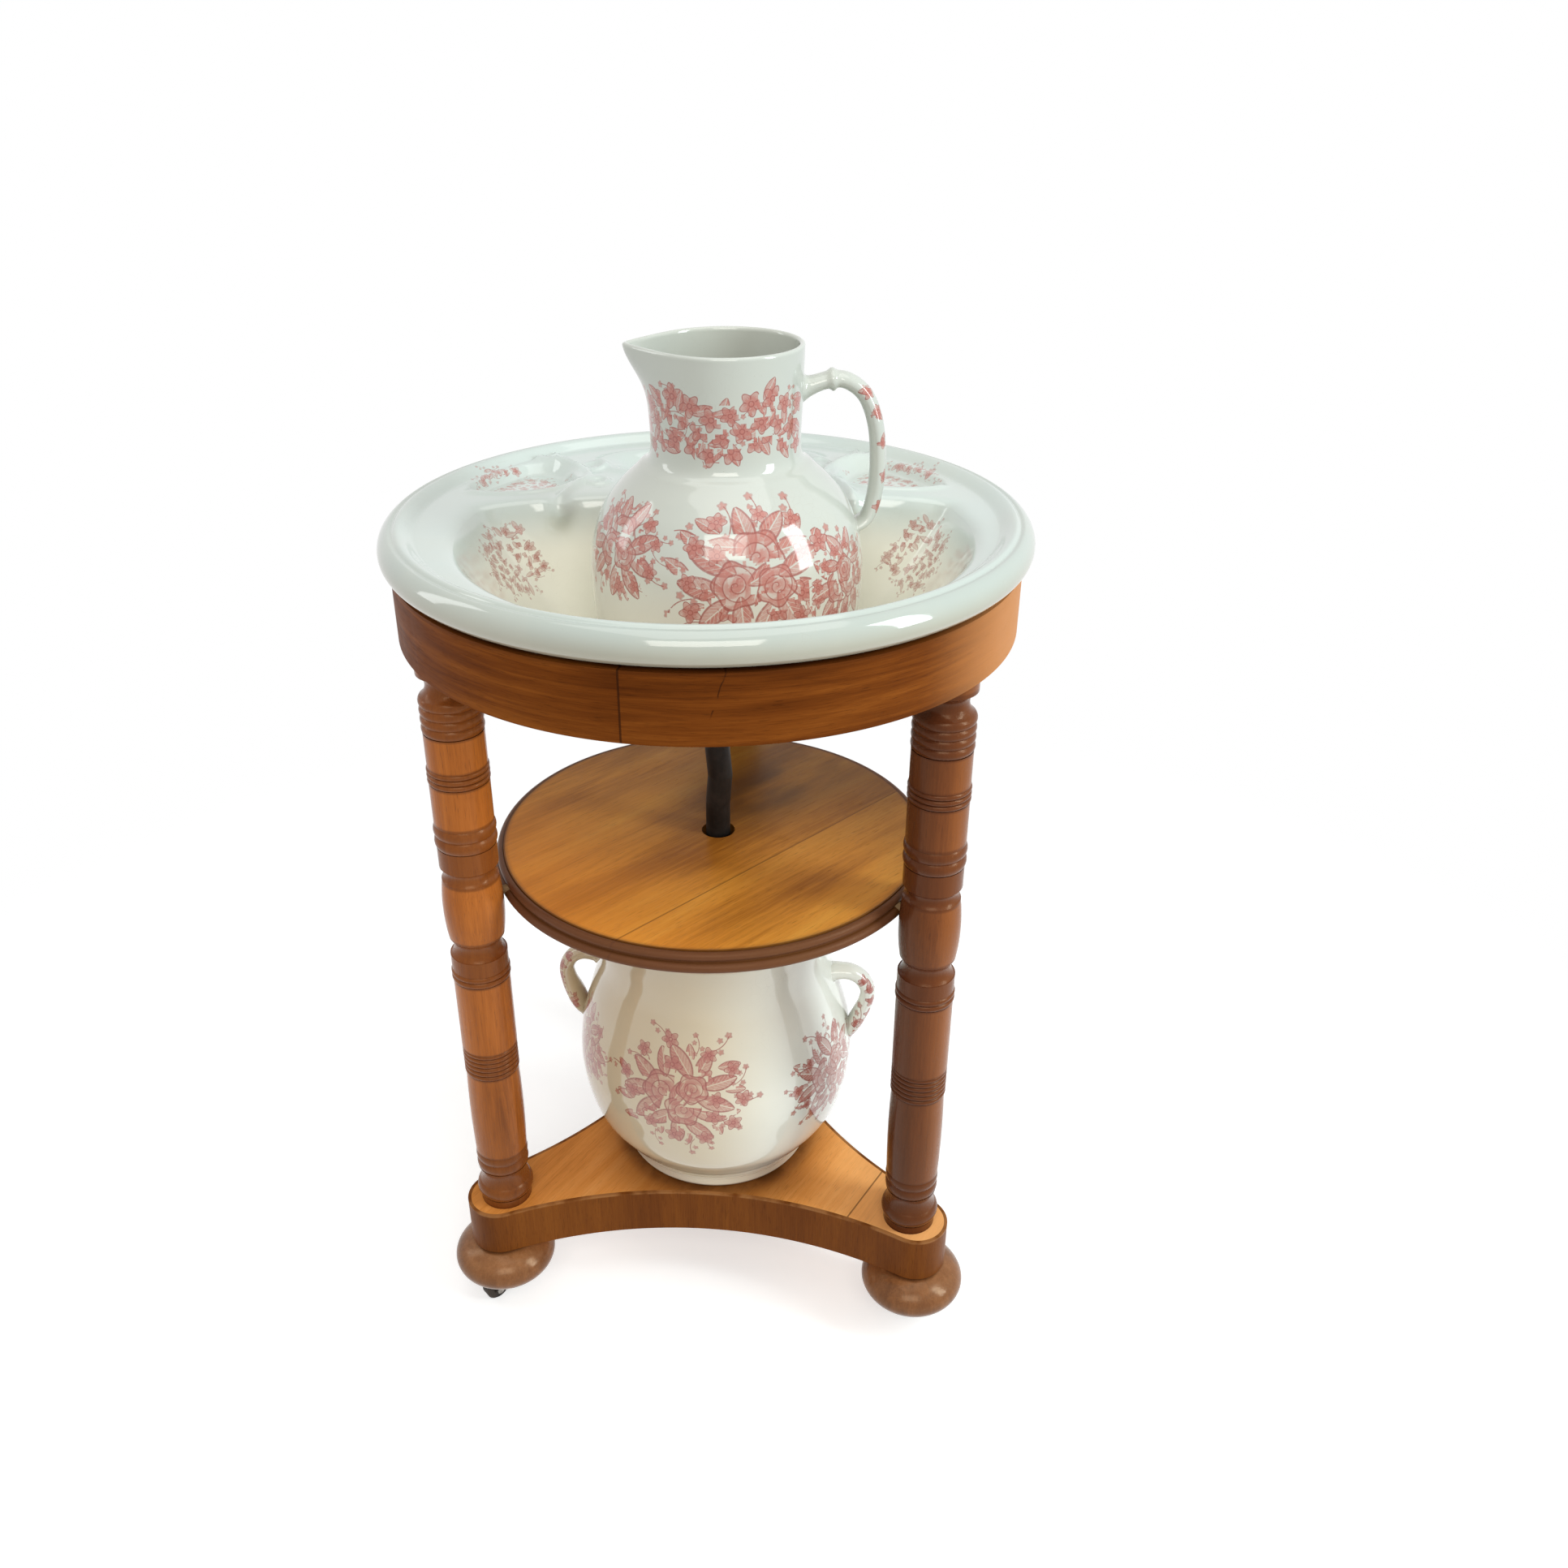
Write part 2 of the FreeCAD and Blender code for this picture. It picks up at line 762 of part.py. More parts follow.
def basin_waste():
    """Flanged brass outlet with a tapered mouth for the plug and a threaded tail."""
    seat = bowl_floor - waste_flange_thickness
    mouth = bowl_floor - plug_thickness
    steps = (
        [(waste_thread_radius, waste_bottom)],
        [(waste_thread_radius, seat)],
        [(waste_flange_radius, seat)],
        [(waste_flange_radius, bowl_floor)],
        [(0, bowl_floor)],
    )
    body = turned((0, waste_bottom), steps)
    bore = cylinder(waste_bore_radius, waste_bottom - cut_overrun, bowl_floor + cut_overrun)
    return body.cut([bore, plug_body(glue_gap, mouth)])


def plug_body(gap, bottom):
    steps = (
        [(waste_bore_radius + plug_rim / 2 + gap, bottom)],
        [(waste_bore_radius + plug_rim / 2 + plug_taper + gap, bowl_floor + gap)],
        [(0, bowl_floor + gap)],
    )
    return turned((0, bottom), steps)


def waste_plug():
    """Tapered stopper seated flush in the mouth of the waste."""
    return plug_body(0, bowl_floor - plug_thickness + glue_gap)


def waste_washer():
    top = bowl_underside
    return ring(washer_radius, waste_thread_radius + glue_gap, top - washer_thickness, top)


def waste_backnut():
    top = bowl_underside - washer_thickness
    bottom = top - backnut_thickness
    bore = cylinder(waste_thread_radius + glue_gap, bottom - cut_overrun, top + cut_overrun)
    return hexagon(backnut_width, bottom, top).cut(bore)


def waste_union_nut():
    """Cap nut that draws the pipe's collar up to the tail of the waste."""
    nut = hexagon(union_width, union_bottom, union_top)
    thread = cylinder(waste_thread_radius + glue_gap, collar_bottom, union_top + cut_overrun)
    way = cylinder(pipe_radius + glue_gap, union_bottom - cut_overrun, collar_top)
    return nut.cut([thread, way])


def pipe_run(radius, overrun):
    """Straight drop with a slight set to one side above the shelf."""
    rise = (union_bottom - shelf_top) * pipe_kink_share
    kink = shelf_top + rise
    start = Vector(0, 0, collar_top + overrun)
    points = [
        start,
        Vector(0, 0, kink + rise / 2),
        Vector(pipe_kink_offset, 0, kink),
        Vector(0, 0, shelf_top + rise / 2),
        Vector(0, 0, pipe_bottom - overrun),
    ]
    solids = []
    for a, b in zip(points, points[1:]):
        solids.append(Part.makeCylinder(radius, (b - a).Length, a, b - a))
    for joint in points[1:-1]:
        solids.append(Part.makeSphere(radius, joint))
    return solids[0].fuse(solids[1:]).removeSplitter()


def drain_pipe():
    collar = cylinder(pipe_collar_radius, collar_bottom, collar_top)
    return pipe_run(pipe_radius, 0).fuse(collar).cut(pipe_run(pipe_bore_radius, cut_overrun))


def spline_face_turned(points, start, end):
    """Solid turned from a smooth side curve between a bottom line and a top line."""
    curve = Part.BSplineCurve()
    curve.interpolate([Vector(r, 0, z) for r, z in points])
    first = Vector(points[0][0], 0, points[0][1])
    last = Vector(points[-1][0], 0, points[-1][1])
    bottom = Vector(0, 0, start)
    top = Vector(0, 0, end)
    edges = [curve.toShape(), Part.LineSegment(last, top).toShape()]
    edges.append(Part.LineSegment(top, bottom).toShape())
    edges.append(Part.LineSegment(bottom, first).toShape())
    return Part.Face(Part.Wire(edges)).revolve(origin, up, full_turn)


def jug_side(inset):
    """Side of the jug from the foot up: swelling body, shoulder and upright neck."""
    points = [(jug_foot_radius - inset, 0)]
    for z, r in jug_outline_shares:
        points.append((r * jug_radius - inset, z * jug_height))
    points.append((jug_neck_radius - inset, (jug_height + points[-1][1]) / 2))
    points.append((jug_neck_radius + jug_rim_flare - inset, jug_height))
    return points


def spout(inset, overrun):
    """Pouring lip drawn out of the neck: a wedge that runs to a point at the rim."""
    root = jug_neck_radius * math.sqrt(0.5)
    tip = jug_neck_radius + jug_spout_reach - 2 * inset
    half = jug_spout_half_width - inset
    top = [(root, -half), (tip, 0), (root, half), (root, -half)]
    low = jug_height - jug_spout_drop + 2 * inset
    end = jug_neck_radius - 2 * inset
    bottom = [(root, -half / 3), (end, 0), (root, half / 3), (root, -half / 3)]
    wires = []
    for points, z in ((bottom, low), (top, jug_height)):
        wires.append(Part.makePolygon([Vector(x, y, z) for x, y in points]))
    solid = Part.makeLoft(wires, True, True)
    if overrun:
        cap = Part.Face(wires[1]).extrude(Vector(0, 0, overrun))
        solid = solid.fuse(cap)
    return solid


def jug_handle():
    """Strap that leaves the neck level, bends down and runs in to the shoulder."""
    level = jug_height - jug_handle_drop
    bend = jug_handle_bend
    reach = jug_handle_reach
    start = Vector(jug_neck_radius - jug_wall / 2, 0, level)
    turn = Vector(reach - bend, 0, level)
    slant = math.sqrt(0.5) * bend
    bent = Vector(reach - bend + slant, 0, level - bend + slant)
    down = Vector(reach, 0, level - bend)
    low = Vector(reach, 0, level - bend - jug_handle_straight)
    rise_share, radius_share = jug_shoulder_shares
    end = Vector(radius_share * jug_radius - jug_handle_root_sink, 0, rise_share * jug_height)
    inwards = low.x - end.x
    fall = low.z - end.z
    tail_bend = (inwards**2 + fall**2) / (2 * inwards)
    tail = math.atan2(fall, tail_bend - inwards)
    centre = Vector(reach - tail_bend, 0, low.z)
    half_way = centre + Vector(math.cos(tail / 2), 0, -math.sin(tail / 2)) * tail_bend
    path = Part.Wire(
        [
            Part.LineSegment(start, turn).toShape(),
            Part.Arc(turn, bent, down).toShape(),
            Part.LineSegment(down, low).toShape(),
            Part.Arc(low, half_way, end).toShape(),
        ]
    )
    return strap_along(path, jug_handle_half_thickness, jug_handle_half_width)


def water_jug():
    outer = spline_face_turned(jug_side(0), 0, jug_height)
    outer = outer.fuse([rotated(spout(0, 0), jug_spout_bearing), jug_handle()])
    floor = jug_foot_recess + jug_wall
    inner_points = [(r, z) for r, z in jug_side(jug_wall) if z > floor]
    inner_points[-1] = (inner_points[-1][0], jug_height + cut_overrun)
    start = (jug_foot_radius - jug_wall, floor)
    inner = spline_face_turned([start] + inner_points, floor, jug_height + cut_overrun)
    recess = cylinder(jug_foot_radius - jug_foot_ring, -cut_overrun, jug_foot_recess)
    lip = rotated(spout(jug_wall / 2, cut_overrun), jug_spout_bearing)
    jug = outer.cut([inner, recess, lip])
    place = Vector(jug_x, jug_y, bowl_floor + standing_gap)
    return rotated(moved(jug, place), ceramics_turn)


def pail_handle():
    """Ear that leaves the neck level, turns down and runs in to the swell of the body."""
    level = pail_handle_height
    bend = pail_handle_bend
    centre = Vector(pail_handle_reach - bend, 0, level - bend)
    turn = math.radians(pail_handle_turn)
    half = turn / 2
    start = Vector(pail_radius * pail_outline_shares[-3][1] - pail_wall / 2, 0, level)
    top = Vector(centre.x, 0, level)
    bent = centre + Vector(math.sin(half), 0, math.cos(half)) * bend
    low = centre + Vector(math.sin(turn), 0, math.cos(turn)) * bend
    end = low + Vector(math.cos(turn), 0, -math.sin(turn)) * pail_handle_tail
    path = Part.Wire(
        [
            Part.LineSegment(start, top).toShape(),
            Part.Arc(top, bent, low).toShape(),
            Part.LineSegment(low, end).toShape(),
        ]
    )
    return strap_along(path, pail_handle_half_thickness, pail_handle_half_width)


def slop_pail():
    side_points = [(r * pail_radius, z * pail_height) for z, r in pail_outline_shares]
    body = spline_face_turned(side_points, side_points[0][1], pail_height)
    foot = cylinder(pail_foot_radius, 0, side_points[0][1] + pail_wall)
    handle = pail_handle()
    outer = body.fuse([foot, handle, rotated(handle, full_turn / 2)])
    floor = side_points[0][1] + pail_wall
    inner_points = [(side_points[0][0] - pail_wall, floor)]
    inner_points += [(r - pail_wall, z) for r, z in side_points if z > floor]
    inner_points[-1] = (inner_points[-1][0], pail_height + cut_overrun)
    inner = spline_face_turned(inner_points, floor, pail_height + cut_overrun)
    recess = cylinder(pail_foot_radius - pail_foot_ring, -cut_overrun, pail_foot_recess)
    pail = outer.cut([inner, recess])
    return moved(rotated(pail, pail_turn + ceramics_turn), Vector(0, 0, base_top + standing_gap))


def build():
    """Every sub-part by its node name."""
    parts = {"wash_basin": wash_basin(), "water_jug": water_jug(), "slop_pail": slop_pail()}
    for piece in (basin_waste, waste_plug, waste_washer, waste_backnut, waste_union_nut, drain_pipe):
        parts[piece.__name__] = moved(piece(), drain)
    for index in range(apron_segments):
        parts[f"apron_segment_{index + 1}"] = apron_segment(index)
    parts["shelf_board_main"], parts["shelf_board_side"] = shelf_boards()
    parts["base_board_main"], parts["base_board_end"] = base_boards()
    screws_in_blocks = []
    screws_in_plates = []
    dowels = []
    for (name, angle), turn in zip(leg_places, caster_turns):
        parts[f"leg_{name}"] = leg(angle)
        parts[f"leg_block_{name}"] = leg_block(angle)
        parts[f"base_facing_{name}"] = facing_strip(angle)
        parts[f"bun_foot_{name}"] = bun_foot(angle)
        parts[f"caster_plate_{name}"] = caster_plate(angle)
        parts[f"caster_horn_{name}"] = placed_caster(caster_horn(), angle, turn)
        parts[f"caster_axle_{name}"] = placed_caster(caster_axle(), angle, turn)
        parts[f"caster_wheel_{name}"] = placed_caster(caster_wheel(), angle, turn)
        screws_in_blocks += block_screws(angle)
        screws_in_plates += plate_screws(angle)
        dowels.append(dowel(angle))
    parts["block_screws"] = Part.makeCompound(screws_in_blocks)
    parts["caster_screws"] = Part.makeCompound(screws_in_plates)
    parts["shelf_dowels"] = Part.makeCompound(dowels)
    return parts


os.makedirs("parts", exist_ok=True)
for node, shape in build().items():
    shape.exportStep(os.path.join("parts", node + ".step"))
    print(node, len(shape.Solids), round(shape.Volume), shape.isValid())
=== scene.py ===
import math
import random

import bmesh
import bpy
import numpy as np
from mathutils import Matrix, Vector
from mathutils.bvhtree import BVHTree


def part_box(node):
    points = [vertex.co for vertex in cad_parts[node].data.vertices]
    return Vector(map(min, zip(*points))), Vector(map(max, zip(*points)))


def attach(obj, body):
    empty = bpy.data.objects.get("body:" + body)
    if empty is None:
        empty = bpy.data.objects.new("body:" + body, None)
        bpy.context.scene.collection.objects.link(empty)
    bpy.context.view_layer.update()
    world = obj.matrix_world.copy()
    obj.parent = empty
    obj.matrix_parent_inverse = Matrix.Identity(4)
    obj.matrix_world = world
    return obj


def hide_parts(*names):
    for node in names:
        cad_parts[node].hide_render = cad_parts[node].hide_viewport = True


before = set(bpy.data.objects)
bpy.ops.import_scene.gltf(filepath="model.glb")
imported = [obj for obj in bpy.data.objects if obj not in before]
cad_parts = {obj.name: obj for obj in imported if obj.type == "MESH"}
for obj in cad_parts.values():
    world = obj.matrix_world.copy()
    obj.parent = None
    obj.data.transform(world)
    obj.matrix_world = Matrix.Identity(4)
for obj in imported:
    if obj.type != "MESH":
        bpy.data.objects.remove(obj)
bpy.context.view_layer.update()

# A turned washstand with a printed basin, jug and slop pail, dressed over its solids.
# Metres, +Z up, front towards -Y. The ceramics stand a little turned about the stand's axis.

# Camera, as the photograph was taken
camera_place = (0.1316, -1.1218, 1.1614)
camera_pitch = math.radians(28.81)
camera_heading = math.radians(4.7)
camera_sensor = 36.0
camera_lens = 32.08
camera_shift = 0.0186

# Studio: floor, and lamps by name, place, size, power and tint
world_light = 0.45
floor_fade = (0.5, 1.3)
floor_glow = 0.45
floor_margin = 1.1
floor_sides = 64
lamp_target = (0.0, 0.0, 0.6)
lamps = (
    ("window_right", (1.9, -0.6, 1.5), (0.5, 1.5), 28.0, (0.88, 0.98, 1.0)),
    ("window_left", (-1.9, 0.1, 1.6), (0.4, 1.4), 5.0, (0.97, 1.0, 1.0)),
    ("front", (0.2, -2.3, 2.3), (1.6, 1.2), 27.0, (1.0, 0.96, 0.89)),
    ("ceiling", (0.1, -0.2, 2.9), (2.0, 2.0), 16.0, (1.0, 0.99, 0.97)),
)

# Ceramics: place and turn
ceramics_turn = math.radians(6.7)
basin_low, basin_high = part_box("wash_basin")
jug_low, jug_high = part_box("water_jug")
pail_low, pail_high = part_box("slop_pail")
jug_height = jug_high.z - jug_low.z
pail_height = pail_high.z - pail_low.z
flange_top = basin_high.z - 0.0075
apron_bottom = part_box("apron_segment_1")[0].z
apron_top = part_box("apron_segment_1")[1].z
base_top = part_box("base_board_main")[1].z

# Stand: joints, moulding, grain and stained bands as shares of a leg
apron_joint = math.radians(-97.4)
apron_crack = math.radians(-81)
shelf_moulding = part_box("shelf_board_side")[1].x - 0.0092
shelf_joint = math.radians(-40.5)
shelf_joint_reach = 0.0741
base_joint = math.radians(-27.7)
base_joint_reach = (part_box("bun_foot_rear")[0].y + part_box("bun_foot_rear")[1].y) / 2 - 0.0575
joint_half = 0.0008
shelf_grain = math.radians(49.5)
shelf_spot = (0.076, 0.022)
base_grain = math.radians(62)
leg_band_shares = (
    (0.0, 0.11), (0.277, 0.329), (0.46, 0.54), (0.64, 0.74), (0.805, 0.832), (0.885, 0.98),
)

# Basin
rim_radius = 0.27
rim_roll = 0.0162
rim_seat = 0.0075
rim_under_share = 0.86
rim_quirk = 0.0017
rim_quirk_angle = math.radians(76)
rim_quirk_width = math.radians(8)
flange_thickness = 0.009
bowl_middle = (0.006, -0.027)
bowl_radius = 0.2105
bowl_back = 0.101
bowl_floor_radius = 0.116
bowl_floor_back = 0.08
bowl_wall = 0.008
bowl_corner = 0.16
bowl_edge = 0.011
bowl_profile_shares = (
    (0.0, 0.0), (0.09, 0.035), (0.17, 0.11), (0.6, 0.555), (0.86, 0.84), (1.0, 1.0),
)
bowl_heel = (
    (0.0216, 0.0172), (0.013, 0.0118), (0.007, 0.009),
    (0.0, 0.0053), (-0.008, 0.002), (-0.018, 0.0),
)
drain_middle = (0.00497, -0.00058)
drain_hole = 0.0191
drain_seat = 0.0291
drain_seat_depth = 0.003
well_depth = 0.009
well_slope = 0.01
well_rim = 0.237
well_bead = 0.0026
well_bead_width = 0.0036
wells = (
    # place, size and tilt, then the length and seed of the print
    ((-0.172, 0.121), (0.052, 0.047), math.radians(10), 0.072, 41),
    ((0.172, 0.121), (0.052, 0.047), math.radians(-10), 0.072, 42),
    ((0.004, 0.164), (0.092, 0.04), 0.0, 0.13, 43),
)
scroll_points = (
    (0.158, 0.178), (0.137, 0.166), (0.116, 0.143),
    (0.107, 0.117), (0.118, 0.088), (0.128, 0.062),
)
scroll_height = 0.0044
scroll_width = 0.0042
curl_places = (((0.104, 0.15), 0.01), ((0.098, 0.104), 0.009), ((0.15, 0.189), 0.007))
drip_side = 0.128
drip_width = 0.009
drip_reach = 0.01

# Jug: its outline as shares of height and radius, its handle from the axis and a level
jug_place = (0.015, -0.045)
jug_radius = 0.11
jug_foot = 0.086
jug_neck = 0.06
jug_rim = 0.061
jug_wall = 0.0045
jug_recess = 0.006
jug_ring = 0.007
jug_outline_shares = (
    (0.07, 0.909), (0.157, 0.957), (0.245, 0.985), (0.332, 0.998), (0.42, 0.996),
    (0.507, 0.95), (0.577, 0.867), (0.629, 0.757), (0.675, 0.63), (0.717, 0.54),
)
spout_reach = 0.0165
spout_drop = 0.056
spout_half_angle = 0.46
jug_handle_drop = 0.028
jug_handle_points = (
    (0.0575, -0.006), (0.064, -0.0055), (0.08, -0.001), (0.094, -0.002), (0.108, -0.013),
    (0.1165, -0.034), (0.1195, -0.06), (0.1185, -0.088), (0.113, -0.1085), (0.1033, -0.1165),
)
jug_handle_line = [(x, jug_height - jug_handle_drop + z) for x, z in jug_handle_points]
jug_handle_half = (0.0064, 0.0092)
jug_handle_thick = ((1.2, 0.0, 0.09), (0.4, 0.24, 0.02), (-0.2, 1.0, 0.14))
jug_handle_wide = ((0.45, 0.0, 0.09), (0.2, 0.24, 0.02), (0.6, 1.0, 0.14))

# Pail
pail_radius = 0.137
pail_foot = 0.093
pail_recess = 0.006
pail_ring = 0.008
pail_wall = 0.0055
pail_turn = math.radians(-2.7)
pail_outline_shares = (
    (0.045, 0.7), (0.075, 0.74), (0.13, 0.82), (0.21, 0.92), (0.315, 0.978), (0.42, 0.998),
    (0.53, 0.974), (0.65, 0.908), (0.79, 0.833), (0.91, 0.838), (1.0, 0.868),
)
pail_handle_points = (
    (0.1155, 0.2085), (0.121, 0.2105), (0.134, 0.2105), (0.145, 0.204), (0.1515, 0.191),
    (0.15, 0.176), (0.1445, 0.161), (0.1385, 0.147), (0.1355, 0.136), (0.1342, 0.125),
)
pail_handle_half = (0.0074, 0.0098)
pail_handle_thick = ((0.3, 0.0, 0.12), (-0.75, 1.0, 0.14))
pail_handle_wide = ((0.2, 0.0, 0.12), (0.6, 0.7, 0.14), (-0.7, 1.0, 0.14))

# Curves and meshes
basin_sides = 480
lathe_sides = 256
strap_sides = 28
axis_gap = 0.002
weld_reach = 1e-5
up = Vector((0, 0, 1))


def smooth_curve(points, steps):
    """Curve through the points, with a number of steps to each span."""
    pts = np.array(points, float)
    ends = np.vstack([2 * pts[0] - pts[1], pts, 2 * pts[-1] - pts[-2]])
    out = []
    for a, b, c, d in zip(ends, ends[1:], ends[2:], ends[3:]):
        for t in np.arange(steps) / steps:
            out.append(0.5 * (2 * b + (c - a) * t + (2 * a - 5 * b + 4 * c - d) * t**2
                              + (3 * b - a - 3 * c + d) * t**3))
    out.append(pts[-1])
    return np.array(out)


def turns(count):
    """Angles spaced evenly round a circle."""
    return np.linspace(0, 2 * math.pi, count, endpoint=False)


def bell(value, width):
    """1 at zero, falling away smoothly over a width."""
    return np.exp(-((value / width) ** 2))


def soft_step(value, low, high):
    """0 below low and 1 above high, smooth between them."""
    t = np.clip((value - low) / (high - low), 0.0, 1.0)
    return t * t * (3 - 2 * t)


def soft_least(a, b, width):
    """The lesser of two values, rounded where they cross."""
    near = np.maximum(width - np.abs(a - b), 0.0) / width
    return np.minimum(a, b) - near * near * width / 4


def ring_mesh(name, rings, looped):
    """Closed surface through rings of points: looped end to end, or capped at both ends."""
    count, sides = len(rings), len(rings[0])
    verts = np.concatenate(rings)
    here = np.arange(sides)
    following = (here + 1) % sides
    faces = []
    for k in range(count if looped else count - 1):
        low, high = k * sides, ((k + 1) % count) * sides
        faces += np.stack([low + here, low + following, high + following, high + here], 1).tolist()
    if not looped:
        for ring, order in ((0, -1), (count - 1, 1)):
            verts = np.vstack([verts, rings[ring].mean(0)])
            pairs = np.stack([ring * sides + here, ring * sides + following], 1)[:, ::order]
            faces += [[a, b, len(verts) - 1] for a, b in pairs.tolist()]
    mesh = bpy.data.meshes.new(name)
    mesh.from_pydata(verts.tolist(), [], faces)
    mesh.validate()
    mesh.shade_smooth()
    return mesh


def lathe(name, profile, reshape=None):
    """Surface turned about Z from (radius, height) points that run from the axis to the axis."""
    angles = turns(lathe_sides)
    rings = []
    for radius, height in profile:
        radii = np.full(lathe_sides, radius)
        if reshape:
            radii = reshape(radii, angles, height)
        flat = radii * np.cos(angles), radii * np.sin(angles)
        rings.append(np.stack([*flat, np.full(lathe_sides, height)], 1))
    return ring_mesh(name, rings, False)


def swell(half, count, bells):
    """A half size along a handle, swollen or thinned by bells of (amount, middle, width)."""
    shares = np.linspace(0, 1, count)
    swells = [amount * bell(shares - middle, width) for amount, middle, width in bells]
    return half * (1 + sum(swells))


def strap(name, path, halves, thick_bells, wide_bells):
    """Oval strap along a path in the XZ plane, its half thickness and half width swelling."""
    thick = swell(halves[0], len(path), thick_bells)
    wide = swell(halves[1], len(path), wide_bells)
    along = np.gradient(path, axis=0)
    along /= np.linalg.norm(along, axis=1)[:, None]
    angles = turns(strap_sides)
    rings = []
    for (x, z), (tx, tz), half, side in zip(path, along, thick, wide):
        out = half * np.cos(angles)
        rings.append(np.stack([x + tz * out, side * np.sin(angles), z - tx * out], 1))
    return ring_mesh(name, rings, False)


def new_object(name, data):
    obj = bpy.data.objects.new(name, data)
    bpy.context.scene.collection.objects.link(obj)
    return obj


def united(name, body, others):
    """One closed mesh from a body and the pieces that grow out of it."""
    obj = new_object(name, body)
    helpers = []
    for mesh in others:
        helper = new_object(mesh.name, mesh)
        helpers.append(helper)
        join = obj.modifiers.new(mesh.name, "BOOLEAN")
        join.operation = "UNION"
        join.solver = "EXACT"
        join.object = helper
    graph = bpy.context.evaluated_depsgraph_get()
    final = bpy.data.meshes.new_from_object(obj.evaluated_get(graph))
    obj.modifiers.clear()
    obj.data = final
    for helper in helpers:
        bpy.data.objects.remove(helper)
    # The union leaves a few double points along its seam.
    welded = bmesh.new()
    welded.from_mesh(final)
    bmesh.ops.remove_doubles(welded, verts=welded.verts, dist=weld_reach)
    welded.to_mesh(final)
    welded.free()
    final.shade_smooth()
    return obj


def place_mesh(obj, turn, place):
    """Turn a piece about Z and set it in its place, in its vertices."""
    obj.data.transform(Matrix.Translation(place) @ Matrix.Rotation(turn, 4, "Z"))
    return obj


def in_ceramics_frame(place, height):
    """A place beside the axis, turned with the ceramics, at a height."""
    turned = Matrix.Rotation(ceramics_turn, 2) @ Vector(place)
    return Vector((turned.x, turned.y, height))


# Basin


def bowl_ring(angles, radius, back):
    """Radius round the bowl's middle: a circle cut by a rounded straight back."""
    sine = np.sin(angles)
    straight = np.where(sine > 0.05, back / np.maximum(sine, 0.05), 1.0)
    return soft_least(np.full(len(angles), radius), straight, bowl_corner * radius / bowl_radius)


def oval_distance(x, y, place, size, tilt):
    """Rough distance outside an oval, negative inside."""
    dx, dy = x - place[0], y - place[1]
    u = (dx * math.cos(tilt) + dy * math.sin(tilt)) / size[0]
    v = (dy * math.cos(tilt) - dx * math.sin(tilt)) / size[1]
    return ((np.abs(u) ** 2.4 + np.abs(v) ** 2.4) ** (1 / 2.4) - 1) * min(size)


def well_relief(x, y, place, size, tilt):
    """Height of one soap well: a dished floor with a raised bead on its inner side."""
    rim = np.hypot(x, y) - well_rim
    inside = -soft_least(-oval_distance(x, y, place, size, tilt), -rim, well_slope)
    bead = well_bead * bell(inside - well_bead_width, well_bead_width)
    bead *= soft_step(-rim, 0.004, 0.02)
    return bead - well_depth * soft_step(-inside, 0.0, well_slope)


def scroll_relief(x, y):
    """Moulded scroll beside a side well: a ridge with curls, down to the drip lip."""
    line = smooth_curve(scroll_points, 10)
    reach = np.min(np.hypot(x[:, None] - line[:, 0], y[:, None] - line[:, 1]), axis=1)
    height = scroll_height * bell(reach, scroll_width)
    for (curl_x, curl_y), radius in curl_places:
        ring = np.hypot(x - curl_x, y - curl_y) - radius
        height = np.maximum(height, scroll_height * 0.7 * bell(ring, scroll_width * 0.7))
    return height


def drip_lip(flat, share):
    """Draw the bowl's rear edge forward at the foot of each scroll, by a share of the reach."""
    lip = bell(np.abs(flat[:, 0]) - drip_side, drip_width)
    forward = drip_reach * share * lip * (flat[:, 1] > 0)
    return flat - np.stack([np.zeros(len(flat)), forward], 1)


def flange_height(x, y):
    """Height of the flange over its own level."""
    height = scroll_relief(x, y) + scroll_relief(-x, y)
    for place, size, tilt, _, _ in wells:
        height = height + well_relief(x, y, place, size, tilt)
    return height


def out_to_circle(points, radius):
    """Where the lines from the bowl's middle through the points meet a circle about the axis."""
    middle = np.array(bowl_middle)
    away = points - middle
    away /= np.linalg.norm(away, axis=1)[:, None]
    along = away @ middle
    reach = -along + np.sqrt(along**2 + radius**2 - middle @ middle)
    return middle + away * reach[:, None]


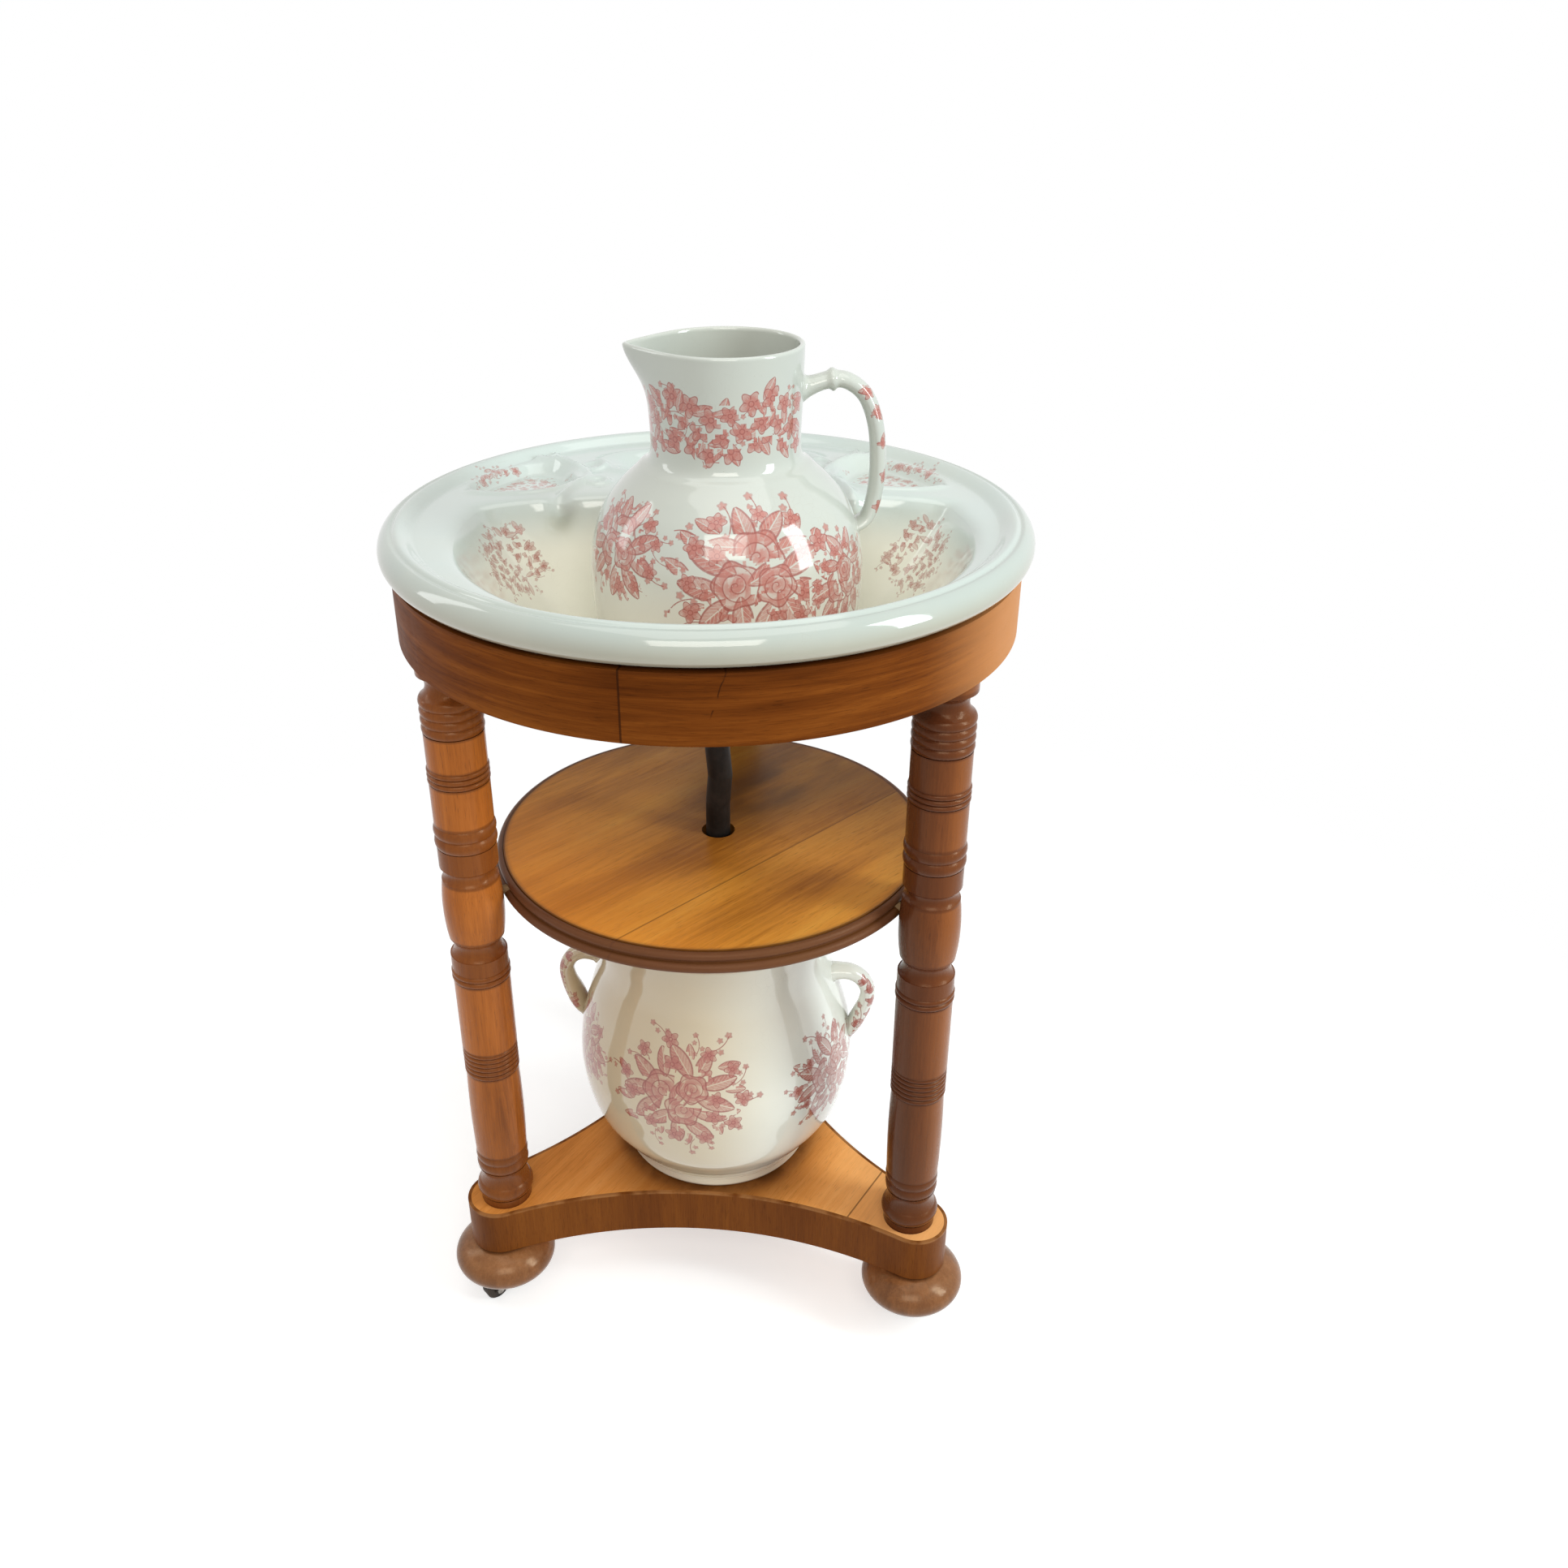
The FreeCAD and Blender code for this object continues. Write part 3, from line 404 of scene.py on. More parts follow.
def basin_rings():
    """Rings from the waste hole up the bowl, over the flange and rim, and back under."""
    under = basin_low.z
    floor = under + bowl_wall
    side_rise = flange_top - floor - bowl_edge / 2
    angles = turns(basin_sides)
    cosine, sine = np.cos(angles), np.sin(angles)
    profile = smooth_curve(bowl_profile_shares, 8)
    rings = []

    def plan(radius, middle):
        return np.stack([middle[0] + radius * cosine, middle[1] + radius * sine], 1)

    def bowl(across, out=0.0):
        """Plan at a share of the way from the bowl's floor to its edge, set out by a distance."""
        radius = bowl_floor_radius + (bowl_radius - bowl_floor_radius) * across + out
        back = bowl_floor_back + (bowl_back - bowl_floor_back) * across + out
        return plan(bowl_ring(angles, radius, back), bowl_middle)

    def level(flat, height):
        rings.append(np.column_stack([flat, np.broadcast_to(height, len(flat))]))

    # Waste hole, floor and inner side
    hole, seat = plan(drain_hole, drain_middle), plan(drain_seat, drain_middle)
    level(hole, under)
    level(hole, floor - drain_seat_depth)
    level(seat, floor - drain_seat_depth)
    level(seat, floor)
    for t in np.linspace(0, 1, 10)[1:-1]:
        level(seat + (bowl(0.0) - seat) * t, floor)
    for across, rise in profile[:-3]:
        level(drip_lip(bowl(across), soft_step(rise, 0.8, 0.97)), floor + side_rise * rise)

    # Flange with its wells and scrolls
    edge = bowl(1.0)
    roll_circle = rim_radius - rim_roll
    roll_z = apron_top + rim_roll
    start_angle = math.pi - math.asin((flange_top - roll_z) / rim_roll)
    outer = out_to_circle(edge, roll_circle + rim_roll * math.cos(start_angle))
    first_top = len(rings)
    for t in np.concatenate([np.linspace(0, 0.1, 8)[1:], np.linspace(0.1, 1, 68)[1:]]):
        flat = edge + (outer - edge) * t
        run = np.hypot(*(flat - edge).T)
        fall = bowl_edge / 2 * np.exp(-run / (bowl_edge / 2))
        relief = flange_height(flat[:, 0], flat[:, 1]) * soft_step(run, 0.0, bowl_edge)
        flat = drip_lip(flat, 1.0 - soft_step(run, 0.0, drip_reach * 2))
        level(flat, flange_top + relief - fall)
    top_rings = rings[first_top:]

    # Rolled rim with its groove
    bearing = outer / np.hypot(*outer.T)[:, None]
    for angle in np.linspace(start_angle, math.pi / 2, 10)[1:]:
        rise = (roll_z + rim_roll - flange_top) * soft_step(angle, start_angle, math.pi / 2)
        level(bearing * (roll_circle + rim_roll * math.cos(angle)), flange_top + rise)
    quirk_end = 2 * rim_quirk_angle - math.pi / 2
    over = np.linspace(math.pi / 2, quirk_end, 13)[1:]
    for angle in (*over, *np.linspace(quirk_end, -math.pi / 2, 15)[1:]):
        roll = rim_roll - rim_quirk * bell(angle - rim_quirk_angle, rim_quirk_width)
        rise = roll * math.sin(angle) * (rim_under_share if angle < 0 else 1.0)
        level(bearing * (roll_circle + roll * math.cos(angle)), roll_z + rise)

    # Underside
    level(bearing * (roll_circle - rim_seat), apron_top)
    level(bearing * (roll_circle - rim_seat), flange_top - flange_thickness)
    rings += [ring - np.array([0, 0, flange_thickness]) for ring in top_rings[::-4]]
    for across, rise in profile[-6::-5]:
        if rise > 0.2:
            level(bowl(across, bowl_wall * 0.7), under + bowl_wall / 2 + side_rise * rise)
    for out, lift in bowl_heel:
        level(bowl(0.0, out), under + lift)
    return rings


def make_basin():
    obj = new_object("basin", ring_mesh("basin", basin_rings()[::-1], True))
    return place_mesh(obj, ceramics_turn, Vector())


# Jug and pail


def vessel_profile(side, wall, foot, recess, ring, floor):
    """Profile of a thrown vessel: recessed foot, outer side, rounded lip, inner side and floor."""
    lip_radius = wall / 2
    inner_foot = foot - ring
    radius, top = side[-1] - lip_radius
    lip = [(radius + lip_radius * np.cos(turn), top + lip_radius * np.sin(turn))
           for turn in np.linspace(0, math.pi, 9)]
    below = [
        (axis_gap, recess), (inner_foot - ring / 2, recess), (inner_foot, recess - ring / 4),
        (inner_foot, ring / 6), (inner_foot + ring / 4, 0.0), (foot - ring / 4, 0.0),
        (foot, ring / 6),
    ]
    outer = [tuple(p) for p in side if ring / 5 < p[1] < side[-1][1] - lip_radius * 1.2]
    inner = [(r - wall, z) for r, z in outer[::-2] if z > floor + wall / 2]
    inner += [(inner[-1][0] - wall, floor), (axis_gap, floor)]
    return below + outer + lip + inner


def jug_side():
    points = [(jug_foot, 0.0)]
    points += [(share * jug_radius, rise * jug_height) for rise, share in jug_outline_shares]
    points.append((jug_neck, (jug_height + points[-1][1]) / 2))
    points.append((jug_rim, jug_height))
    return smooth_curve(points, 12)


def spout_pull(radii, angles, height):
    """Draw the neck out to a pouring lip opposite the handle."""
    off = np.abs(np.angle(np.exp(1j * (angles - math.pi)))) / spout_half_angle
    lift = soft_step(height, jug_height - spout_drop, jug_height) ** 1.7
    return radii + spout_reach * lift * np.exp(-(off**1.35) * 1.6) * (radii > jug_neck / 2)


def make_jug():
    floor = jug_recess + jug_wall
    profile = vessel_profile(jug_side(), jug_wall, jug_foot, jug_recess, jug_ring, floor)
    body = lathe("jug", profile, spout_pull)
    path = smooth_curve(jug_handle_line, 9)
    handle = strap("jug_handle", path, jug_handle_half, jug_handle_thick, jug_handle_wide)
    obj = united("jug", body, [handle])
    return place_mesh(obj, ceramics_turn, in_ceramics_frame(jug_place, jug_low.z))


def make_pail():
    side = [(share * pail_radius, rise * pail_height) for rise, share in pail_outline_shares]
    foot_top = side[0][1]
    foot = [(pail_foot, 0.0), (pail_foot + 0.0012, foot_top / 3), (pail_foot, foot_top * 0.7)]
    side = np.vstack([foot, smooth_curve(side, 12)])
    floor = foot_top + pail_wall
    body = lathe("pail", vessel_profile(side, pail_wall, pail_foot, pail_recess, pail_ring, floor))
    path = smooth_curve(pail_handle_points, 8)
    shape = (path, pail_handle_half, pail_handle_thick, pail_handle_wide)
    ears = [strap("pail_ear_right", *shape), strap("pail_ear_left", *shape)]
    ears[1].transform(Matrix.Rotation(math.pi, 4, "Z"))
    obj = united("pail", body, ears)
    return place_mesh(obj, pail_turn, up * pail_low.z)


# Printed flowers: each motif lends its own flat coordinates to the faces under it

blossom, rose, leaf, sprig = 1, 2, 3, 4
layer_names = ("print_sprig", "print_leaf", "print_bloom")
layer_of = {blossom: "print_bloom", rose: "print_bloom", leaf: "print_leaf", sprig: "print_sprig"}
stamp_margin = 0.0025
leaf_width = 0.42
spray_lift = 0.012
golden_angle = math.pi * (3 - math.sqrt(5))
handle_offset = 0.01
jug_handle_bloom = 0.0058
pail_handle_bloom = 0.0062
neck_garland = (0.235, 0.0092)
garland_span = (0.35, 5.93)
rose_count = 3
wall_print_drop = 0.046
wall_print_reach = 0.87
wall_posy = (0.08, 0.066, 0.0058)
well_posy = (0.06, 0.0056)
# Bouquets: width, height and bloom, then each one's bearing, height, share of the size and seed
jug_bouquet = (0.15, 0.118, 0.0215)
jug_bouquets = (
    (-72, 0.138, 1.0, 3), (-137, 0.15, 0.6, 4), (80, 0.138, 1.0, 8), (140, 0.15, 0.6, 9),
    (-28, 0.12, 0.5, 10),
)
pail_bouquet = (0.14, 0.112, 0.0205)
pail_bouquets = (
    (-99, 0.15, 1.0, 11), (-28, 0.135, 0.8, 12), (81, 0.15, 1.0, 13), (152, 0.135, 0.8, 14),
    (-156, 0.15, 0.6, 15), (24, 0.15, 0.6, 16),
)


class Surface:
    """A piece's faces, and the motifs stamped on them."""

    def __init__(self, obj):
        mesh = obj.data
        self.mesh = mesh
        places = [v.co for v in mesh.vertices]
        faces = [p.vertices for p in mesh.polygons]
        self.tree = BVHTree.FromPolygons(places, faces)
        self.corners = np.array(places)[[loop.vertex_index for loop in mesh.loops]]
        self.middles = np.array([p.center for p in mesh.polygons])
        self.normals = np.array([p.normal for p in mesh.polygons])
        self.owner = np.repeat(np.arange(len(faces)), [len(face) for face in faces])
        self.layers = {name: np.zeros((len(mesh.loops), 3)) for name in layer_names}

    def nearest(self, point, right):
        """The nearest place on the surface, its normal, and a direction laid flat there."""
        place, normal, _, _ = self.tree.find_nearest(point)
        return place, normal, (right - normal * right.dot(normal)).normalized()

    def stamp(self, kind, point, right, size, turn):
        """Set one motif on the surface nearest to a point."""
        place, normal, right = self.nearest(point, right)
        right = Matrix.Rotation(turn, 3, normal) @ right
        axes = np.array([right, normal.cross(right), normal]).T
        across, height, depth = ((self.middles - np.array(place)) @ axes).T
        reach = size + stamp_margin
        near = (np.hypot(across, height) < reach) & (np.abs(depth) < reach)
        if kind == leaf:
            near &= np.abs(height) < size * leaf_width + stamp_margin
        near &= self.normals @ axes[:, 2] > 0.25
        chosen = near[self.owner]
        layer = self.layers[layer_of[kind]]
        layer[chosen, :2] = (self.corners[chosen] - np.array(place)) @ axes[:, :2] / size
        layer[chosen, 2] = kind

    def spray(self, point, right, motifs):
        """Stamp (kind, across, height, size, turn) on the surface nearest to a point."""
        place, normal, right = self.nearest(point, right)
        above = normal.cross(right)
        for kind, across, height, size, turn in motifs:
            spot = place + normal * spray_lift + right * across + above * height
            self.stamp(kind, spot, right, size, turn)

    def keep(self):
        for name, values in self.layers.items():
            attribute = self.mesh.attributes.new(name, "FLOAT_VECTOR", "CORNER")
            attribute.data.foreach_set("vector", values.ravel())


def bouquet(width, height, bloom, seed):
    """Roses with leaves in the middle, small blossoms and sprigs round the outside."""
    pick = random.Random(seed)
    start = pick.uniform(0, 2 * math.pi)
    gather = 0.045 * rose_count
    motifs = []

    def oval(angle, reach):
        return reach * width * math.cos(angle), reach * height * math.sin(angle)

    def scatter(kind, count, near, far, small, large):
        for k in range(count):
            angle = start + 2 * math.pi * (k + pick.uniform(-0.25, 0.25)) / count
            reach = pick.uniform(near, far) / 2
            size = bloom * pick.uniform(small, large)
            motifs.append((kind, *oval(angle, reach), size, angle + pick.uniform(-0.6, 0.6)))

    scatter(sprig, 13, 0.95, 1.25, 0.55, 0.75)
    scatter(leaf, 12, 0.8, 1.05, 0.42, 0.6)
    scatter(leaf, 5, 0.0, 0.2, 0.8, 1.0)
    scatter(blossom, 7, 0.55, 0.7, 0.42, 0.52)
    scatter(blossom, 11, 0.8, 1.05, 0.34, 0.46)
    roses = [start + 2 * math.pi * k / rose_count for k in range(rose_count)]
    for angle in roses:
        x, y = oval(angle, gather)
        for j in range(4):
            turn = angle + (j - 1.5) * 0.85
            away = bloom * pick.uniform(1.25, 1.5)
            spot = (x + away * math.cos(turn), y + away * math.sin(turn))
            size = bloom * pick.uniform(0.75, 1.0)
            motifs.append((leaf, *spot, size, turn + pick.uniform(-0.3, 0.3)))
    for k, angle in enumerate(roses):
        size = bloom * (1.05 - 0.12 * k)
        motifs.append((rose, *oval(angle, gather), size, pick.uniform(0, 2 * math.pi)))
    return motifs


def posy(width, height, bloom, seed):
    """Close oval of small blossoms and leaves that thins out to sprigs."""
    pick = random.Random(seed)
    motifs = []
    for kind, count, near, far, share in (
        (sprig, 24, 0.62, 1.1, 1.1), (leaf, 28, 0.1, 0.95, 0.9), (blossom, 34, 0.0, 0.86, 0.85),
    ):
        for k in range(count):
            reach = math.sqrt(near**2 + (far**2 - near**2) * (k + 0.5) / count) / 2
            angle = k * golden_angle + kind
            spot = (reach * width * math.cos(angle), reach * height * math.sin(angle))
            turn = pick.uniform(0, 2 * math.pi)
            motifs.append((kind, *spot, bloom * share * pick.uniform(0.85, 1.2), turn))
    return motifs


def strew(surface, spots, bloom, seed):
    """Close row of small blossoms with leaves and sprigs between them."""
    pick = random.Random(seed)
    for point, right in spots:
        for kind, spread in ((sprig, 0.9), (leaf, 0.9), (blossom, 0.3)):
            shift = right * pick.uniform(-spread, spread) + up * pick.uniform(-spread, spread)
            size = bloom * pick.uniform(0.85, 1.15)
            surface.stamp(kind, point + shift * bloom, right, size, pick.uniform(0, 2 * math.pi))


def level_way(bearing):
    """Level direction at a bearing in radians."""
    return math.cos(bearing), math.sin(bearing), 0.0


def round_axis(bearing):
    """Outward and sideways directions at a bearing."""
    out = Vector(level_way(bearing))
    return out, Vector((-out.y, out.x, 0))


def garland(surface, middle, radius, height, bloom, start, end, seed):
    """Band of small blossoms and leaves round a neck, its edges waving."""
    count = int((end - start) * radius / (bloom * 1.6))
    for row in (-1, 0, 1):
        spots = []
        for k in range(count):
            bearing = start + (end - start) * (k + 0.5 * (row % 2)) / count
            out, right = round_axis(bearing)
            rise = (row * 1.5 + 0.6 * math.sin(bearing * 5)) * bloom
            spots.append((middle + out * radius + up * (height + rise), right))
        strew(surface, spots, bloom, seed + row)


def handle_print(surface, points, turn, middle, bloom, seed):
    """Rows of small blossoms down the outer corners of a handle."""
    out, right = round_axis(turn)
    path = smooth_curve(points, 2)[1::2]
    for side in (-1, 1):
        corner = middle + right * side * handle_offset
        spots = [(corner + out * (x + handle_offset) + up * z, right) for x, z in path]
        strew(surface, spots, bloom, seed + side)


def bouquets(surface, middle, radius, size, spots):
    """Bouquets round a vessel, each smaller by its share."""
    width, height, bloom = size
    for bearing, lift, share, seed in spots:
        out, right = round_axis(math.radians(bearing))
        motifs = bouquet(width * share, height * share, bloom * math.sqrt(share), seed)
        surface.spray(middle + out * radius + up * lift, right, motifs)


def print_jug(surface):
    middle = in_ceramics_frame(jug_place, jug_low.z)
    bouquets(surface, middle, jug_radius, jug_bouquet, jug_bouquets)
    start, end = (ceramics_turn + turn for turn in garland_span)
    garland(surface, middle, jug_neck, *neck_garland, start, end, 5)
    handle_print(surface, jug_handle_line[3:9], ceramics_turn, middle, jug_handle_bloom, 21)


def print_pail(surface):
    middle = up * pail_low.z
    bouquets(surface, middle, pail_radius, pail_bouquet, pail_bouquets)
    for turn, seed in ((pail_turn, 17), (pail_turn + math.pi, 18)):
        handle_print(surface, pail_handle_points[2:10], turn, middle, pail_handle_bloom, seed)


def print_basin(surface):
    for bearing, seed in ((164, 31), (16, 32), (-90, 33)):
        out, right = round_axis(math.radians(bearing) + ceramics_turn)
        middle = in_ceramics_frame(bowl_middle, flange_top - wall_print_drop)
        point = middle + out * bowl_radius * wall_print_reach
        surface.spray(point, right, posy(*wall_posy, seed))
    right = Vector(level_way(ceramics_turn))
    for place, _, _, length, seed in wells:
        point = in_ceramics_frame(place, flange_top - well_depth)
        surface.spray(point, right, posy(length, *well_posy, seed))


# Shader building blocks


def node_step(operation):
    """A method of Value that sends the value through one maths node."""
    def method(self, other=0.0):
        return self.paint.math(operation, self, other)
    return method


class Value:
    """A number in a node tree that takes part in sums."""

    def __init__(self, paint, socket):
        self.paint = paint
        self.socket = socket

    __add__ = node_step("ADD")
    __sub__ = node_step("SUBTRACT")
    __mul__ = node_step("MULTIPLY")
    __truediv__ = node_step("DIVIDE")
    absolute = node_step("ABSOLUTE")
    power = node_step("POWER")
    most = node_step("MAXIMUM")
    least = node_step("MINIMUM")
    sine = node_step("SINE")
    cosine = node_step("COSINE")
    fraction = node_step("FRACT")

    def __rsub__(self, other):
        return self.paint.math("SUBTRACT", other, self)

    def rise(self, low, high):
        """0 below low and 1 above high, smooth between them."""
        inputs = {0: self, 1: low, 2: high}
        return self.paint.value("ShaderNodeMapRange", 0, inputs, interpolation_type="SMOOTHSTEP")

    def fall(self, low, high):
        """1 below low and 0 above high."""
        return 1.0 - self.rise(low, high)

    def within(self, width):
        """1 where the value is near zero."""
        return self.absolute().fall(width * 0.6, width * 1.3)


def reach_of(x, y):
    """Distance from the origin."""
    return (x * x + y * y).power(0.5)


class Paint:
    """A node tree with short calls for the nodes it uses."""

    def __init__(self, tree):
        self.tree = tree

    def put(self, value, socket):
        value = value.socket if isinstance(value, Value) else value
        if isinstance(value, bpy.types.NodeSocket):
            self.tree.links.new(value, socket)
        else:
            socket.default_value = value

    def fill(self, node, inputs):
        for key, value in dict(inputs).items():
            self.put(value, node.inputs[key])
        return node

    def add(self, kind, inputs=(), **settings):
        node = self.tree.nodes.new(kind)
        for key, value in settings.items():
            setattr(node, key, value)
        return self.fill(node, inputs)

    def value(self, kind, output, inputs=(), **settings):
        return Value(self, self.add(kind, inputs, **settings).outputs[output])

    def math(self, operation, a, b=0.0, c=0.0):
        return self.value("ShaderNodeMath", 0, {0: a, 1: b, 2: c}, operation=operation)

    def mix(self, share, a, b):
        node = self.add("ShaderNodeMix", data_type="RGBA")
        for socket, value in ((node.inputs[0], share), (node.inputs[6], a), (node.inputs[7], b)):
            self.put((*value, 1.0) if isinstance(value, tuple) else value, socket)
        return node.outputs[2]

    def lay(self, colour, *coats):
        """Coats of (share, colour), laid over a colour one after the other."""
        for share, coat in coats:
            colour = self.mix(share, colour, coat)
        return colour

    def vector(self, x, y, z):
        return self.add("ShaderNodeCombineXYZ", {0: x, 1: y, 2: z}).outputs[0]

    def split(self, vector):
        node = self.add("ShaderNodeSeparateXYZ", {0: vector})
        return [Value(self, socket) for socket in node.outputs]

    def place(self):
        return self.add("ShaderNodeTexCoord").outputs["Object"]

    def xyz(self):
        return self.split(self.place())

    def dot(self, vector, direction):
        inputs = {0: vector, 1: direction}
        return self.value("ShaderNodeVectorMath", "Value", inputs, operation="DOT_PRODUCT")

    def noise(self, vector, scale, detail, roughness=0.55, distortion=0.0):
        inputs = {"Vector": vector, "Scale": scale, "Detail": detail, "Roughness": roughness}
        return self.value("ShaderNodeTexNoise", "Fac", {**inputs, "Distortion": distortion})

    def mottle(self, scale, detail, roughness=0.55):
        return self.noise(self.place(), scale, detail, roughness)

    def hollow(self, distance):
        """1 in the open, less in grooves and corners."""
        return self.value("ShaderNodeAmbientOcclusion", "AO", {"Distance": distance}, samples=8)

    def bump(self, height, strength, distance):
        inputs = {"Height": height, "Strength": strength, "Distance": distance}
        return self.add("ShaderNodeBump", inputs).outputs[0]


def new_material(name):
    material = bpy.data.materials.new(name)
    material.use_nodes = True
    paint = Paint(material.node_tree)
    return material, paint, material.node_tree.nodes["Principled BSDF"]


# Wood

joint_brown = (0.06, 0.018, 0.005)
crack_brown = (0.028, 0.008, 0.003)
# Painted shade at the back of the shelf, and the darker spot by the pipe
shade_and_spot_brown = (0.05, 0.017, 0.006)
varnish_tint = (1.0, 0.74, 0.5, 1.0)
shelf_way = level_way(shelf_grain)
base_way = level_way(base_grain)


def straight_grain(along, across):
    """Grain coordinates for a board: X runs along the grain."""
    def coordinates(paint):
        place = paint.place()
        third = Vector(along).cross(Vector(across))
        return [paint.dot(place, tuple(axis)) for axis in (along, across, third)]
    return coordinates


def ring_grain(radius):
    """Grain coordinates that run round the stand's axis."""
    def coordinates(paint):
        x, y, z = paint.xyz()
        return [paint.math("ARCTAN2", y, x) * radius, z, reach_of(x, y)]
    return coordinates


def wood(name, grain, light, middle, dark, figure, groove, roughness, gloss, edge):
    """Varnished wood: broad figure, streaks, pores, painted shade in grooves and corners, and wear
    on the varnish.
    """
    material, paint, shader = new_material(name)
    along, across, depth = grain(paint)
    board = paint.value("ShaderNodeObjectInfo", "Random")
    along = along + board * 3.0

    def fibres(long, fine, *look):
        return paint.noise(paint.vector(along * long, across * fine, depth * fine), 1.0, *look)

    broad = fibres(2.6, 16, 3.0, 0.55, 0.5)
    streak = fibres(7, 150, 4.0, 0.6, 0.8)
    fibre = fibres(26, 900, 2.0, 0.6)
    pores = fibres(75, 1900, 1.0).rise(0.6, 0.74)
    tone = (broad - 0.5) * (1.5 * figure) + (streak - 0.5) * (0.8 * figure) + (fibre - 0.5) * 0.3
    tone = tone + board * 0.12 + 0.46
    colour = paint.mix(tone.rise(0.12, 0.58), dark, middle)
    colour = paint.mix(tone.rise(0.45, 0.95), colour, light)
    colour = paint.mix(pores * 0.5, colour, tuple(c * 0.45 for c in dark))
    if edge:
        colour = paint.lay(colour, *edge(paint, *paint.xyz()))
    # Painted shade: darker where ambient occlusion finds grooves, corners and other parts close by
    if groove:
        shade = paint.hollow(0.007).fall(0.25, 0.85)
        colour = paint.mix(shade * groove, colour, tuple(c * 0.32 for c in dark))
    wear = paint.mottle(34.0, 4.0, 0.65)
    paint.fill(shader, {
        "Base Color": colour,
        "Roughness": wear * 0.22 + pores * 0.12 + (roughness - 0.08),
        "Normal": paint.bump(streak * 0.4 + fibre * 0.3 - pores * 0.8, 0.22, 0.0006),
        "Specular IOR Level": gloss,
        "Specular Tint": varnish_tint,
    })
    return material


# Painters of wear, stains, painted light and painted shade: each gives coats of (share, colour) at
# a place


def seam(x, y, bearing, reach):
    """1 along the upright joint between two boards, at a distance along a bearing."""
    return (x * math.cos(bearing) + y * math.sin(bearing) - reach).within(joint_half)


def shelf_edge(paint, x, y, z):
    """Dark stained moulding, painted shade at the back, a darker spot by the pipe, a lighter redder
    front, a painted shade line in the quirk, and the joint.
    """
    along = x * shelf_way[0] + y * shelf_way[1]
    across = y * shelf_way[0] - x * shelf_way[1]
    cloudy_mask = paint.noise(paint.vector(along * 5, across * 15, z), 1.0, 3.0, 0.55).rise(0.32, 0.6)
    # Painted shade: darker towards the back, under the basin
    back = (x * 0.3 + y * 0.92).rise(-0.07, 0.19)
    # A darker spot round the pipe
    spot = reach_of((along - shelf_spot[0]) * 0.55, across - shelf_spot[1]).fall(0.015, 0.085)
    light = (x * -0.75 - y * 0.66).rise(0.05, 0.19)
    out = reach_of(x, y)
    stain = out.rise(shelf_moulding - 0.005, shelf_moulding - 0.001)
    moulding = out.rise(shelf_moulding, shelf_moulding + 0.001)
    # Painted shade: dark line along the quirk at the moulding's inner edge
    line = (out - shelf_moulding).within(0.0012)
    return [
        (back * (cloudy_mask * 0.35 + 0.4), shade_and_spot_brown),
        (spot * (cloudy_mask * 0.35 + 0.5), shade_and_spot_brown),
        (light * 0.45, (0.84, 0.27, 0.03)),
        (seam(x, y, shelf_joint, shelf_joint_reach) * 0.5, joint_brown),
        (stain * 0.4, (0.2, 0.07, 0.024)),
        (moulding * 0.9, (0.118, 0.047, 0.027)),
        (line * 0.6, (0.03, 0.01, 0.005)),
    ]


def apron_joints(paint, x, y, z):
    """Dark butt joints, a slanting crack, a painted shade line under the rim and a painted
    highlight on the right side.
    """
    bearing = paint.math("ARCTAN2", y, x)
    turn = (bearing - apron_joint) / (math.pi / 2)
    gap = ((turn + 8.5).fraction() - 0.5) * (math.pi / 2 * rim_radius)
    rough = paint.mottle(90.0, 3.0)
    crack = (bearing - apron_crack) * rim_radius - (z - apron_top) * 0.34 + (rough - 0.5) * 0.004
    reach = z.rise(apron_top - 0.036, apron_top - 0.028) * rough.rise(0.38, 0.5)
    return [
        (gap.within(0.0009) * 0.75, crack_brown),
        (crack.within(0.0006) * reach * 0.7, crack_brown),
        # Painted shade under the rim's overhang
        (z.rise(apron_top - 0.005, apron_top) * 0.3, (0.035, 0.01, 0.004)),
        # Painted highlight: lighter orange towards the right end, where the window light falls
        (x.rise(rim_radius * 0.64, rim_radius * 0.96) * 0.85, (0.7, 0.3, 0.105)),
    ]


def leg_bands(paint, x, y, z):
    """Darker stain on the beaded bands, and painted shade on the lower half of a leg."""
    share = (z - base_top) / (apron_bottom - base_top)
    bands = [share.rise(start - 0.004, start) * share.fall(end, end + 0.004)
             for start, end in leg_band_shares]
    band = bands[0]
    for other in bands[1:]:
        band = band.most(other)
    # Painted shade: darker towards the bottom of the leg
    low = share.fall(0.0, 0.45) * 0.38
    return [(band * 0.55, (0.085, 0.021, 0.008)), (low, (0.1, 0.028, 0.006))]


def sidelit_leg_bands(paint, x, y, z):
    """A leg with painted shade on its inner side and a painted highlight on its outer side, with
    its darker bands.
    """
    low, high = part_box("leg_front_right")
    side = x - (low[0] + high[0]) / 2
    # Painted shade on the inner side and painted light on the outer side
    inner = side.fall(-0.018, 0.004) * 0.45
    outer = side.rise(0.002, 0.02) * 0.45
    coats = [(inner, (0.045, 0.013, 0.006)), (outer, (0.4, 0.125, 0.024))]
    return coats + leg_bands(paint, x, y, z)


def foot_shade(paint, x, y, z):
    """A bun foot with mottled painted shade on its lower part."""
    low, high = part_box("bun_foot_front_left")
    share = (z - low[2]) / (high[2] - low[2])
    patch = paint.mottle(45.0, 4.0, 0.6).rise(0.34, 0.62)
    # Painted shade: darker towards the bottom of the foot, mottled
    lower_shade = share.fall(0.35, 0.85) * (patch * 0.35 + 0.35)
    return [(lower_shade, (0.115, 0.04, 0.015))]


